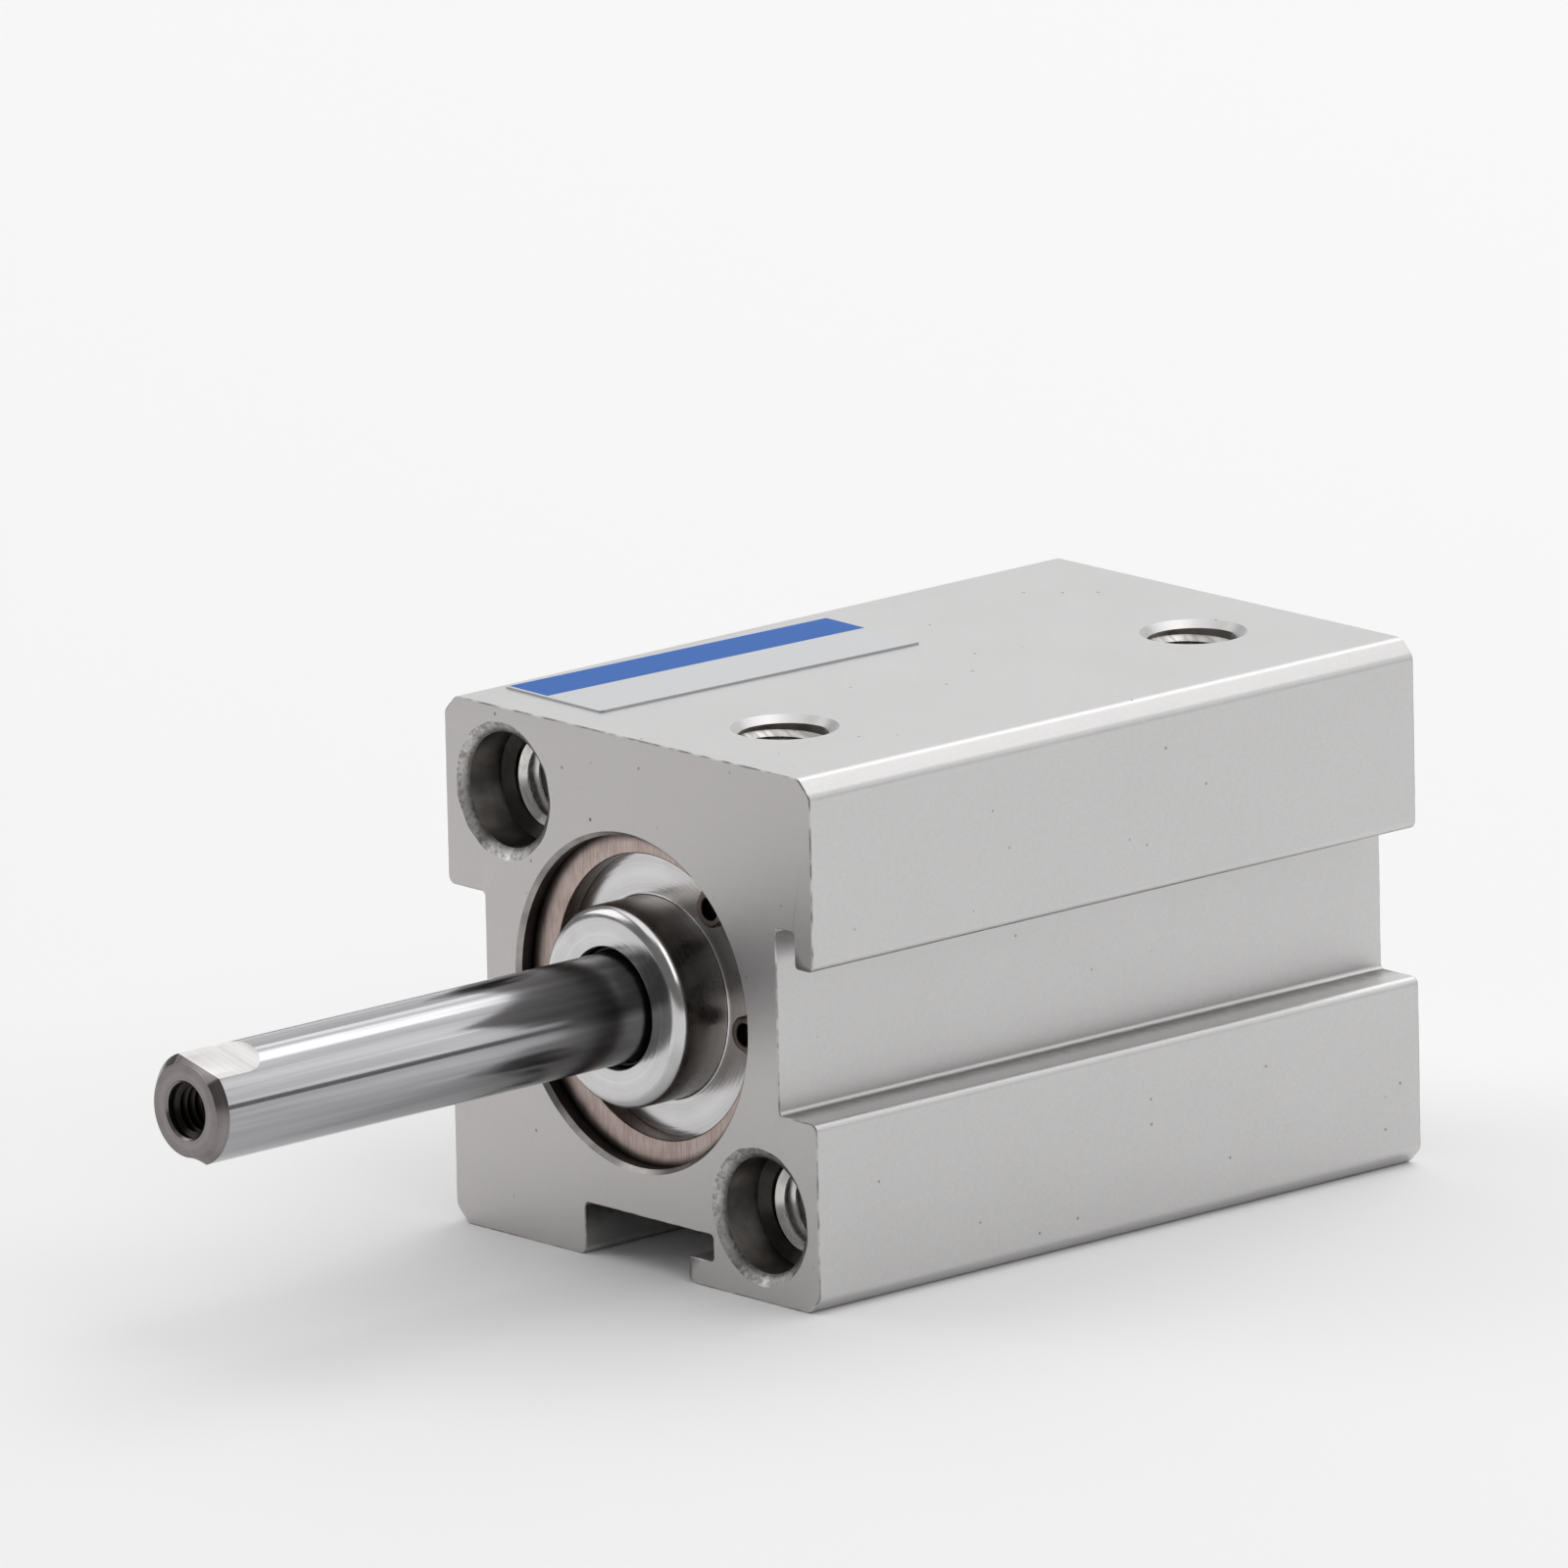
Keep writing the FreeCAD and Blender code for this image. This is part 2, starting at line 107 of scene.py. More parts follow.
class Wire:
    """An output socket of a node tree. Maths on it adds nodes, so that a finish reads as a formula."""

    def __init__(self, tree, socket=None):
        self.tree = tree
        self.socket = socket

    def node(self, kind, settings=None, values=None, output=0):
        """A new node, its settings made first and then its sockets set or linked. Returns one output."""
        made = self.tree.nodes.new(kind)
        for name, value in (settings or {}).items():
            setattr(made, name, value)
        for name, value in (values or {}).items():
            if isinstance(value, Wire):
                self.tree.links.new(value.socket, made.inputs[name])
            else:
                made.inputs[name].default_value = value
        return Wire(self.tree, made.outputs[output])

    def out(self, name):
        """Another output of the node that this wire comes from."""
        return Wire(self.tree, self.socket.node.outputs[name])

    def to(self, node, name):
        """Links this wire to a socket of a node."""
        self.tree.links.new(self.socket, node.inputs[name])

    def math(self, operation, first, second=0.0):
        """A Math node on two values, each of them a wire or a number."""
        return self.node("ShaderNodeMath", {"operation": operation}, {0: first, 1: second})

    def __add__(self, other):
        return self.math("ADD", self, other)

    def __radd__(self, other):
        return self.math("ADD", other, self)

    def __sub__(self, other):
        return self.math("SUBTRACT", self, other)

    def __rsub__(self, other):
        return self.math("SUBTRACT", other, self)

    def __mul__(self, other):
        return self.math("MULTIPLY", self, other)

    def __rmul__(self, other):
        return self.math("MULTIPLY", other, self)

    def __truediv__(self, other):
        return self.math("DIVIDE", self, other)

    def __rtruediv__(self, other):
        return self.math("DIVIDE", other, self)

    def __abs__(self):
        return self.math("ABSOLUTE", self)

    def rise(self, low, high):
        """Goes smoothly from 0 at low to 1 at high."""
        settings = {"interpolation_type": "SMOOTHSTEP"}
        return self.node("ShaderNodeMapRange", settings, {"Value": self, "From Min": low, "From Max": high})

    def tint(self, dark, light):
        """A colour between dark at 0 and light at 1."""
        return self.node("ShaderNodeMix", {"data_type": "RGBA"}, {0: self, 6: dark, 7: light}, 2)

    def stretched(self, scale):
        """Coordinates times a scale, so that a pattern grows longer where the scale is small."""
        return self.node("ShaderNodeVectorMath", {"operation": "MULTIPLY"}, {0: self, 1: scale})

    def noise(self, cell, detail=2.0):
        """Smooth noise whose lumps are about one cell across, in the units of this wire's coordinates."""
        values = {"Vector": self, "Scale": 1 / cell, "Detail": detail}
        return self.node("ShaderNodeTexNoise", None, values)

    def bump(self, height):
        """A surface normal that shows this wire as relief of the given height."""
        return self.node("ShaderNodeBump", None, {"Strength": 1.0, "Distance": height, "Height": self})


def start_finish(name, constants):
    """A new material, the wire of its object coordinates, and its shader with the constants set."""
    material = bpy.data.materials.new(name)
    material.use_nodes = True
    shader = material.node_tree.nodes["Principled BSDF"]
    for socket, value in constants.items():
        shader.inputs[socket].default_value = value
    place = Wire(material.node_tree).node("ShaderNodeTexCoord", output="Object")
    return material, place, shader


def split(vector):
    """The three parts of a vector wire."""
    parts = vector.node("ShaderNodeSeparateXYZ", None, {0: vector})
    return [parts.out(part) for part in range(3)]


def satin_alloy(name, dark, light):
    """Blasted and anodised skin: fine grain, die lines, specks, a dark broken line along the cut edges, and
    painted shade in the grooves.
    """
    speck_spacing = 1.4 * MM
    darkening_colour = (0.09, 0.085, 0.08, 1)
    material, place, shader = start_finish(name, {"Metallic": 1.0})
    grain = place.noise(0.16 * MM, 3.0)
    cloud = place.noise(6.0 * MM)
    die_lines = place.stretched((0.01, 1.0, 1.0)).noise(0.12 * MM)
    cells = {"Vector": place, "Scale": 1 / speck_spacing}
    from_cell = place.node("ShaderNodeTexVoronoi", {"feature": "F1"}, cells, "Distance")
    chance, strength, _ = split(from_cell.out("Color"))
    speck_spot = 1 - from_cell.rise(0.04, 0.09)
    specks = chance.rise(0.74, 0.76) * (0.3 + strength * 0.7) * speck_spot
    # A dark broken line along the cut edges.
    edge = place.node("ShaderNodeAttribute", {"attribute_name": "cut_edge"}, None, "Fac")
    edge_darkening = edge * place.noise(1.3 * MM, 4.0).rise(0.36, 0.62)
    # Painted shade in the grooves, under each lip and in the open corner.
    soil = place.node("ShaderNodeAttribute", {"attribute_name": "painted_groove_shade"}, None, "Fac")
    patchy = (place.noise(0.6 * MM, 4.0) - 0.5) * 0.5
    groove_shade_mask = (soil + patchy * soil).rise(0.3, 1.0)
    tone = 0.5 + (grain - 0.5) * 0.9 + (cloud - 0.5) * 0.35
    metal = tone.tint(dark, light)
    # Painted groove shade and the cut-edge line; the specks share their dark colour.
    darkening = place.math("MAXIMUM", edge_darkening * 0.75, groove_shade_mask * 0.72)
    specks_and_darkening = place.math("MAXIMUM", specks, darkening)
    specks_and_darkening.tint(metal, darkening_colour).to(shader, "Base Color")
    (0.42 + (grain - 0.5) * 0.20 + (cloud - 0.5) * 0.04).to(shader, "Roughness")
    (grain + die_lines * 0.35 - specks).bump(0.0035 * MM).to(shader, "Normal")
    return material


def machined_alloy(name, dark, light):
    """Bare walls left by drill and boring bar, with fine tool rings."""
    material, place, shader = start_finish(name, {"Metallic": 1.0})
    rings = place.stretched((1.0, 0.05, 0.05)).noise(0.10 * MM)
    smear = place.noise(2.4 * MM, 3.0)
    smear.rise(0.3, 0.7).tint(dark, light).to(shader, "Base Color")
    (0.24 + smear * 0.16).to(shader, "Roughness")
    rings.bump(0.004 * MM).to(shader, "Normal")
    return material


def chattered_alloy():
    """Hole mouths cut by a countersink that chattered: uneven flats and burrs, and painted shade darkening
    the inner edge where the mouth turns into the hole.
    """
    dark = (0.30, 0.29, 0.285, 1)
    light = (0.70, 0.69, 0.68, 1)
    darkening_colour = (0.06, 0.056, 0.052, 1)
    shade_start = 0.2 * MM
    shade_raggedness = 0.5 * MM
    chatter_arc = 0.35
    middle = body_end / 2
    material, place, shader = start_finish("chattered_alloy", {"Metallic": 1.0})
    x, y, z = split(place)
    side = place.math("SIGN", z - y)
    across = {1: y + side * hole_offset, 2: z - side * hole_offset}
    from_axis = place.node("ShaderNodeCombineXYZ", None, across)
    around = place.node("ShaderNodeVectorMath", {"operation": "NORMALIZE"}, {0: from_axis})
    chatter = around.noise(chatter_arc, 4.0)
    rough = place.noise(0.25 * MM, 3.0)
    # Painted shade: darker with depth, towards the inner edge of the mouth.
    depth = -middle - abs(x - middle)
    darkening = (depth + (rough - 0.5) * shade_raggedness).rise(shade_start, mouth_depth) * 0.85
    metal = (chatter * 0.5 + rough * 0.5).rise(0.38, 0.62).tint(dark, light)
    darkening.tint(metal, darkening_colour).to(shader, "Base Color")
    (0.30 + rough * 0.22).to(shader, "Roughness")
    (chatter + rough * 0.5).bump(0.03 * MM).to(shader, "Normal")
    return material


def rounded(corners, closed=True):
    """An outline through corners (a, b, radius), with an arc at each corner whose radius isn't 0."""
    points = []
    last = len(corners) - 1
    for index, (a, b, radius) in enumerate(corners):
        corner = Vector((a, b))
        if radius == 0 or (not closed and index in (0, last)):
            points.append(corner)
            continue
        to_last = (Vector(corners[index - 1][:2]) - corner).normalized()
        to_next = (Vector(corners[(index + 1) % len(corners)][:2]) - corner).normalized()
        half_angle = to_last.angle(to_next) / 2
        centre = corner + (to_last + to_next).normalized() * (radius / sin(half_angle))
        start = corner + to_last * (radius / tan(half_angle)) - centre
        sweep = start.angle_signed(corner + to_next * (radius / tan(half_angle)) - centre)
        for step in range(arc_steps + 1):
            arm = Matrix.Rotation(-sweep * step / arc_steps, 2) @ start
            points.append(centre + arm)
    return points


def inset(outline, distance):
    """The outline moved inwards, which is to the left of its run."""
    moved = []
    for index, point in enumerate(outline):
        run_in = (point - outline[index - 1]).normalized()
        run_out = (outline[(index + 1) % len(outline)] - point).normalized()
        left_in = Vector((-run_in.y, run_in.x))
        left_out = Vector((-run_out.y, run_out.x))
        middle = (left_in + left_out).normalized()
        moved.append(point + middle * (distance / middle.dot(left_in)))
    return moved


def bridge(mesh, one, other, finish):
    """Quads between two rings of vertices. A ring of one vertex is a pole."""
    for index in range(max(len(one), len(other))):
        corners = []
        for ring, step in ((one, 0), (one, 1), (other, 1), (other, 0)):
            vertex = ring[(index + step) % len(ring)]
            if vertex not in corners:
                corners.append(vertex)
        face = mesh.faces.new(corners)
        face.material_index = finish


def turned_wall(mesh, spot, count, outline, finish=0):
    """A wall turned about an axis. The outline holds (along, radius), and spot places a point."""
    rings = []
    for along, radius in outline:
        steps = count if radius > 0 else 1
        rings.append([mesh.verts.new(spot(along, radius, 2 * pi * step / count)) for step in range(steps)])
    for one, other in zip(rings, rings[1:]):
        bridge(mesh, one, other, finish)
    return rings


def skin(mesh, outline, top, bottom, edge_round, finish):
    """The side wall of a plate or bar between two levels of x, with rounded edges, as a list of rings."""
    steps = []
    for step in range(edge_steps + 1):
        turn = step / edge_steps * pi / 2
        steps.append((edge_round * (1 - cos(turn)), inset(outline, edge_round * (1 - sin(turn)))))
    levels = [(top - depth, loop) for depth, loop in steps]
    levels += [(bottom + depth, loop) for depth, loop in reversed(steps)]
    rings = [[mesh.verts.new((level, y, z)) for y, z in loop] for level, loop in levels]
    for one, other in zip(rings, rings[1:]):
        bridge(mesh, one, other, finish)
    return rings


def fill(mesh, rings, normal, finish):
    """A flat face inside the first ring, with the other rings as its holes."""
    edges = []
    for ring in rings:
        for index, vertex in enumerate(ring):
            pair = (ring[index - 1], vertex)
            edges.append(mesh.edges.get(pair) or mesh.edges.new(pair))
    made = bmesh.ops.triangle_fill(mesh, use_beauty=True, edges=edges, normal=normal)
    for item in made["geom"]:
        if isinstance(item, bmesh.types.BMFace):
            item.material_index = finish


def finished(mesh, name, materials, smooth_angle=35):
    """The mesh as an object: closed, faces outwards, smooth up to the angle, flats kept flat."""
    bmesh.ops.remove_doubles(mesh, verts=mesh.verts, dist=weld_distance)
    bmesh.ops.recalc_face_normals(mesh, faces=mesh.faces)
    data = bpy.data.meshes.new(name)
    mesh.to_mesh(data)
    mesh.free()
    data.polygons.foreach_set("use_smooth", [True] * len(data.polygons))
    data.set_sharp_from_angle(angle=radians(smooth_angle))
    for material in materials:
        data.materials.append(material)
    piece = bpy.data.objects.new(name, data)
    bpy.context.scene.collection.objects.link(piece)
    normals = piece.modifiers.new("flat_normals", "WEIGHTED_NORMAL")
    normals.keep_sharp = True
    return piece


def paint_ring(ring, finish):
    """Gives the finish to every face that touches a ring of vertices."""
    for vertex in ring:
        for face in vertex.link_faces:
            face.material_index = finish


def about_x(y, z):
    """Places (along, radius, turn) about an axis that runs along x."""
    return lambda along, radius, turn: (along, y + radius * cos(turn), z + radius * sin(turn))


def about_z(x, y):
    """Places (along, radius, turn) about an upright axis."""
    return lambda along, radius, turn: (x + radius * cos(turn), y + radius * sin(turn), along)


def barrel_side(grooved):
    """Corners of one side of the section, run clockwise as seen from the front."""
    start = (corner_chamfer - half_side, half_side, corner_edge_round)
    end = (half_side - corner_chamfer, half_side, corner_edge_round)
    if not grooved:
        return [start, end]
    return [
        start,
        (-groove_half, half_side, groove_edge_round),
        (-groove_half, groove_lip, groove_inner_round),
        (-groove_undercut, groove_lip, groove_inner_round),
        (-groove_undercut, groove_floor, groove_inner_round),
        (groove_half, groove_floor, groove_inner_round),
        (groove_half, half_side, groove_edge_round),
        end,
    ]


def barrel_section():
    """The whole section as (y, z), clockwise from the upper side, then turned to run anticlockwise."""
    corners = []
    for quarter in range(4):
        turn = -quarter * pi / 2
        for along, outward, radius in barrel_side(grooved=quarter > 0):
            y = along * cos(turn) - outward * sin(turn)
            z = along * sin(turn) + outward * cos(turn)
            corners.append((y, z, radius))
    return rounded(list(reversed(corners)))


def painted_groove_shade_share(point):
    """How much painted shade a groove gets at a point (y, z): a shadow line along the lip's edge and shade in
    the open corner.
    """
    for quarter in (1, 2, 3):
        along, outward = Matrix.Rotation(quarter * pi / 2, 2) @ point
        in_corner = groove_half - groove_inner_round < along <= groove_half + groove_shade_margin
        on_lip_edge = -groove_half - groove_edge_round < along <= groove_shade_margin - groove_half
        if in_corner and groove_floor < outward < groove_lip:
            return (outward - groove_floor) / groove_inner_round
        if on_lip_edge and groove_lip < outward < half_side:
            return min(1, 2 * (half_side - outward) / groove_edge_round)
    return 0


SATIN, SHADED_SAWN, PAINTED_SHADE, OILED, CHATTERED = range(5)
barrel_mesh = bmesh.new()
cut_edge = barrel_mesh.verts.layers.float.new("cut_edge")
painted_groove_shade = barrel_mesh.verts.layers.float.new("painted_groove_shade")
skin_rings = skin(barrel_mesh, barrel_section(), 0, body_end, cut_edge_round, SATIN)
for ring in skin_rings[1:edge_steps] + skin_rings[-edge_steps:-1]:
    for vertex in ring:
        vertex[cut_edge] = 1.0
# Painted shade in the grooves: a shadow line along each lip's edge and shade in the open corner.
for ring in skin_rings:
    for vertex in ring:
        vertex[painted_groove_shade] = painted_groove_shade_share(vertex.co.yz)
top_level = half_side - 0.001 * MM
least_lid_area = 10 * MM * MM
upper_faces = [face for face in barrel_mesh.faces if min(vertex.co.z for vertex in face.verts) > top_level]
lid_faces = [face for face in upper_faces if face.calc_area() > least_lid_area]
lid_ring = list(lid_faces[0].verts)
bmesh.ops.delete(barrel_mesh, geom=lid_faces, context="FACES_ONLY")

bore_outline = [
    (0, seat_r + mouth_chamfer),
    (-mouth_chamfer, seat_r),
    (ring_groove_front, seat_r),
    (ring_groove_front, ring_groove_r),
    (ring_groove_rear, ring_groove_r),
    (ring_groove_rear, seat_r),
    (front_seat, seat_r),
    (front_seat, bore_r),
    (rear_seat, bore_r),
    (rear_seat, seat_r),
    (rear_rim, seat_r),
    (rear_rim, rear_rim_r),
    (body_end + rear_rim_chamfer, rear_rim_r),
    (body_end, rear_rim_r + rear_rim_chamfer),
]
# The bore's walls are painted near black as shade; the rings at its two mouths are oiled.
bore_rings = turned_wall(barrel_mesh, about_x(0, 0), bore_count, bore_outline, PAINTED_SHADE)
paint_ring(bore_rings[0], OILED)
paint_ring(bore_rings[-1], OILED)

sunk_half = [
    (0, sink_r + mouth_widening),
    (-mouth_depth, sink_r),
    (-sink_depth, sink_r),
    (thread_start, thread_r),
    (thread_end, thread_r),
    (thread_end - thread_r + through_r, through_r),
]
cone_foot = sunk_half.index((thread_start, thread_r))
hole_outline = sunk_half + [(body_end - along, radius) for along, radius in reversed(sunk_half)]
front_loops = [skin_rings[0], bore_rings[0]]
rear_loops = [skin_rings[-1], bore_rings[-1]]
for side in (-1, 1):
    axis = about_x(side * hole_offset, -side * hole_offset)
    hole_rings = turned_wall(barrel_mesh, axis, hole_count, hole_outline, OILED)
    centre = Vector((0, side * hole_offset, -side * hole_offset))
    for mouth, foot in ((0, cone_foot), (-1, -1 - cone_foot)):
        paint_ring(hole_rings[mouth], CHATTERED)
        # The cone at the foot of each sink, and the wall beyond it, are painted near black as shade.
        paint_ring(hole_rings[foot], PAINTED_SHADE)
        for vertex in hole_rings[mouth]:
            arm = vertex.co - centre
            arm.x = 0
            vertex.co += arm.normalized() * mouth_unevenness * noise.noise(vertex.co / (mouth_lobe * sink_r))
    front_loops.append(hole_rings[0])
    rear_loops.append(hole_rings[-1])
fill(barrel_mesh, front_loops, (1, 0, 0), SHADED_SAWN)
fill(barrel_mesh, rear_loops, (-1, 0, 0), SHADED_SAWN)

port_outline = [
    (half_side, port_r + port_chamfer),
    (half_side - port_chamfer, port_r),
    (half_side - port_depth, port_r),
    (half_side - port_depth - (port_r - passage_r) / tan(drill_point), passage_r),
    (half_side - passage_depth, passage_r),
    (half_side - passage_depth, 0),
]
lid_loops = [lid_ring]
for port_x, port_y in port_spots:
    port_rings = turned_wall(barrel_mesh, about_z(port_x, port_y), port_count, port_outline, OILED)
    paint_ring(port_rings[0], SATIN)
    lid_loops.append(port_rings[0])
fill(barrel_mesh, lid_loops, (0, 0, 1), SATIN)

barrel_finishes = [
    satin_alloy("satin_alloy", (0.585, 0.578, 0.575, 1), (0.72, 0.712, 0.71, 1)),
    # The sawn end faces get a darker copy of the satin finish: painted shade, matched to the front end, which
    # faces away from the lamps.
    satin_alloy("shaded_sawn_alloy", (0.52, 0.498, 0.497, 1), (0.64, 0.615, 0.613, 1)),
    # Near-black machined alloy: painted shade for the bore's walls and the walls deep in the mounting holes.
    machined_alloy("painted_shade_alloy", (0.025, 0.024, 0.023, 1), (0.07, 0.066, 0.062, 1)),
    machined_alloy("oiled_alloy", (0.26, 0.247, 0.24, 1), (0.55, 0.522, 0.508, 1)),
    chattered_alloy(),
]
barrel = finished(barrel_mesh, "barrel_body", barrel_finishes, smooth_angle=28)
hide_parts("barrel")
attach(barrel, "barrel")

# Threads: right-handed M5 turns cut by taps, in both ports and at the foot of the mounting holes.
# They are part of the barrel, bare bright alloy where the tap cut through the anodised skin.
thread_pitch = 0.8 * MM
thread_depth = 0.42 * MM
thread_steps = 56
thread_root_share = 0.86
thread_crest_share = 0.16
runout_share = 3.0
thread_merge = 0.0005 * MM
thread_smooth_angle = radians(30)


def thread_rule():
    """Geometry nodes: a ridge along a helix at every point, turned to the point's axis, thin at both ends."""
    tree = bpy.data.node_groups.new("thread_turns", "GeometryNodeTree")
    tree.interface.new_socket("Geometry", in_out="INPUT", socket_type="NodeSocketGeometry")
    for name in ("Radius", "Depth", "Pitch", "Turns"):
        tree.interface.new_socket(name, in_out="INPUT", socket_type="NodeSocketFloat")
    tree.interface.new_socket("Steps", in_out="INPUT", socket_type="NodeSocketInt")
    tree.interface.new_socket("Finish", in_out="INPUT", socket_type="NodeSocketMaterial")
    tree.interface.new_socket("Geometry", in_out="OUTPUT", socket_type="NodeSocketGeometry")
    size = {socket.name: Wire(tree, socket) for socket in tree.nodes.new("NodeGroupInput").outputs}
    start = Wire(tree)
    helix_values = {
        "Resolution": size["Steps"],
        "Rotations": size["Turns"],
        "Start Radius": size["Radius"],
        "End Radius": size["Radius"],
        "Height": size["Pitch"] * size["Turns"],
        "Reverse": True,
    }
    helix = start.node("GeometryNodeCurveSpiral", None, helix_values)
    helix = start.node("GeometryNodeSetCurveNormal", {"mode": "Z_UP"}, {"Curve": helix})
    ridge_values = {
        "Height": size["Depth"],
        "Bottom Width": size["Pitch"] * thread_root_share,
        "Top Width": size["Pitch"] * thread_crest_share,
        "Offset": 0.0,
    }
    ridge = start.node("GeometryNodeCurvePrimitiveQuadrilateral", {"mode": "TRAPEZOID"}, ridge_values)
    inward = start.node("ShaderNodeCombineXYZ", None, {0: size["Depth"] * -0.5})
    turned_in = {"Geometry": ridge, "Translation": inward, "Rotation": (0, 0, pi / 2)}
    ridge = start.node("GeometryNodeTransform", None, turned_in)
    along = start.node("GeometryNodeSplineParameter", output="Factor")
    from_end = start.math("MINIMUM", along, 1 - along)
    runout = start.math("MINIMUM", from_end * size["Turns"] * runout_share, 1.0)
    sweep = {"Curve": helix, "Profile Curve": ridge, "Scale": runout, "Fill Caps": True}
    turns = start.node("GeometryNodeCurveToMesh", None, sweep)
    axis = start.node("GeometryNodeInputNamedAttribute", {"data_type": "FLOAT_VECTOR"}, {"Name": "axis"})
    lean = start.node("FunctionNodeAlignRotationToVector", {"axis": "Z"}, {"Vector": axis})
    copies = {"Points": size["Geometry"], "Instance": turns, "Rotation": lean}
    copies = start.node("GeometryNodeInstanceOnPoints", None, copies)
    solid = start.node("GeometryNodeRealizeInstances", None, {0: copies})
    solid = start.node("GeometryNodeMergeByDistance", None, {"Geometry": solid, "Distance": thread_merge})
    solid = start.node("GeometryNodeSetMaterial", None, {"Geometry": solid, "Material": size["Finish"]})
    solid.to(tree.nodes.new("NodeGroupOutput"), 0)
    return tree


def threads(name, starts, sizes):
    """Thread turns from each (start, axis), as one plain mesh."""
    data = bpy.data.meshes.new(name)
    data.from_pydata([start for start, axis in starts], [], [])
    axes = data.attributes.new("axis", "FLOAT_VECTOR", "POINT")
    axes.data.foreach_set("vector", [part for start, axis in starts for part in axis])
    piece = bpy.data.objects.new(name, data)
    bpy.context.scene.collection.objects.link(piece)
    rule = piece.modifiers.new("thread_turns", "NODES")
    rule.node_group = thread_tree
    for item in thread_tree.interface.items_tree:
        if item.name in sizes:
            rule[item.identifier] = sizes[item.name]
    shape = piece.evaluated_get(bpy.context.evaluated_depsgraph_get())
    plain = bpy.data.meshes.new_from_object(shape)
    piece.modifiers.remove(rule)
    piece.data = plain
    plain.polygons.foreach_set("use_smooth", [True] * len(plain.polygons))
    plain.set_sharp_from_angle(angle=thread_smooth_angle)
    return piece


def tapped_alloy(name, dark, light):
    """Flanks left by the tap, torn in places along the turns."""
    material, place, shader = start_finish(name, {"Metallic": 1.0})
    torn = place.stretched((1.0, 0.25, 0.25)).noise(0.3 * MM)
    torn.rise(0.3, 0.7).tint(dark, light).to(shader, "Base Color")
    (0.20 + torn * 0.14).to(shader, "Roughness")
    torn.bump(0.005 * MM).to(shader, "Normal")
    return material


thread_tree = thread_rule()
mount_tap_finish = tapped_alloy("tapped_alloy", (0.70, 0.68, 0.65, 1), (0.95, 0.94, 0.92, 1))
# The port threads get a darker copy of the tapped finish: painted shade for the turns deep in the upright
# ports.
shaded_port_tap_finish = tapped_alloy("shaded_tapped_port_alloy", (0.29, 0.28, 0.27, 1), (0.54, 0.525, 0.51, 1))
mount_starts = []
for side in (-1, 1):
    for level, inwards in ((thread_start, -1), (body_end - thread_start, 1)):
        spot = (level, side * hole_offset, -side * hole_offset)
        mount_starts.append((spot, (inwards, 0, 0)))
port_starts = [((port_x, port_y, half_side - port_chamfer), (0, 0, -1)) for port_x, port_y in port_spots]
thread_sets = (
    ("mount_threads", mount_starts, thread_r, mount_thread_length, mount_tap_finish),
    ("port_threads", port_starts, port_r, port_depth - port_chamfer, shaded_port_tap_finish),
)
for name, starts, radius, length, finish in thread_sets:
    thread_sizes = {
        "Radius": radius,
        "Depth": thread_depth,
        "Pitch": thread_pitch,
        "Turns": length / thread_pitch - 1,
        "Steps": thread_steps,
        "Finish": finish,
    }
    turns = threads(name, starts, thread_sizes)
    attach(turns, "barrel")

# Rear cover: an aluminium disc turned bright, with a shallow recess.
# It closes the bore behind on an O-ring, and the barrel's rim is rolled over its edge.
rear_low, rear_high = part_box("rear_cover")
rear_flange_r = rear_high.y
rear_spigot_r = 7.97 * MM
rear_seal_floor_r = rear_spigot_r - 0.9 * MM
rear_seal_rear = -41.15 * MM
rear_seal_front = -39.85 * MM
rear_recess_r = 4.0 * MM
rear_recess_depth = 0.5 * MM
rear_recess_round = 0.1 * MM
tool_ring_height = 0.004 * MM


def turning_spot(place):
    """Where a point of a turned piece lies, as its x and its distance from the rod axis."""
    x, y, z = split(place)
    from_axis = place.node("ShaderNodeCombineXYZ", None, {1: y, 2: z})
    radius = place.node("ShaderNodeVectorMath", {"operation": "LENGTH"}, {0: from_axis}, "Value")
    return x, radius


def turned_alloy(name, dark, light, roughness, ring_height=tool_ring_height):
    """Face and side turned on a lathe: fine rings about the axis, with small changes of gloss."""
    material, place, shader = start_finish(name, {"Metallic": 1.0})
    x, radius = turning_spot(place)
    path = place.node("ShaderNodeCombineXYZ", None, {0: radius, 1: x})
    rings = path.noise(0.09 * MM, 3.0)
    bands = path.noise(0.7 * MM, 1.0)
    smear = place.noise(1.6 * MM)
    tone = (rings + bands + smear) / 3
    tone.rise(0.3, 0.7).tint(dark, light).to(shader, "Base Color")
    (roughness + (smear - 0.5) * roughness + (rings - 0.5) * roughness * 0.6).to(shader, "Roughness")
    rings.bump(ring_height).to(shader, "Normal")
    return material


def turned_piece(name, corners, count, materials, finish_of=None):
    """A solid turned about the rod axis from corners (x, radius, rounding), which may start on the axis."""
    mesh = bmesh.new()
    on_axis = corners[0][1] == 0
    outline = [tuple(point) for point in rounded(corners, closed=not on_axis)]
    if not on_axis:
        outline.append(outline[0])
    turned_wall(mesh, about_x(0, 0), count, outline)
    if finish_of:
        for face in mesh.faces:
            face.material_index = finish_of(face.calc_center_median())
    return finished(mesh, name, materials)


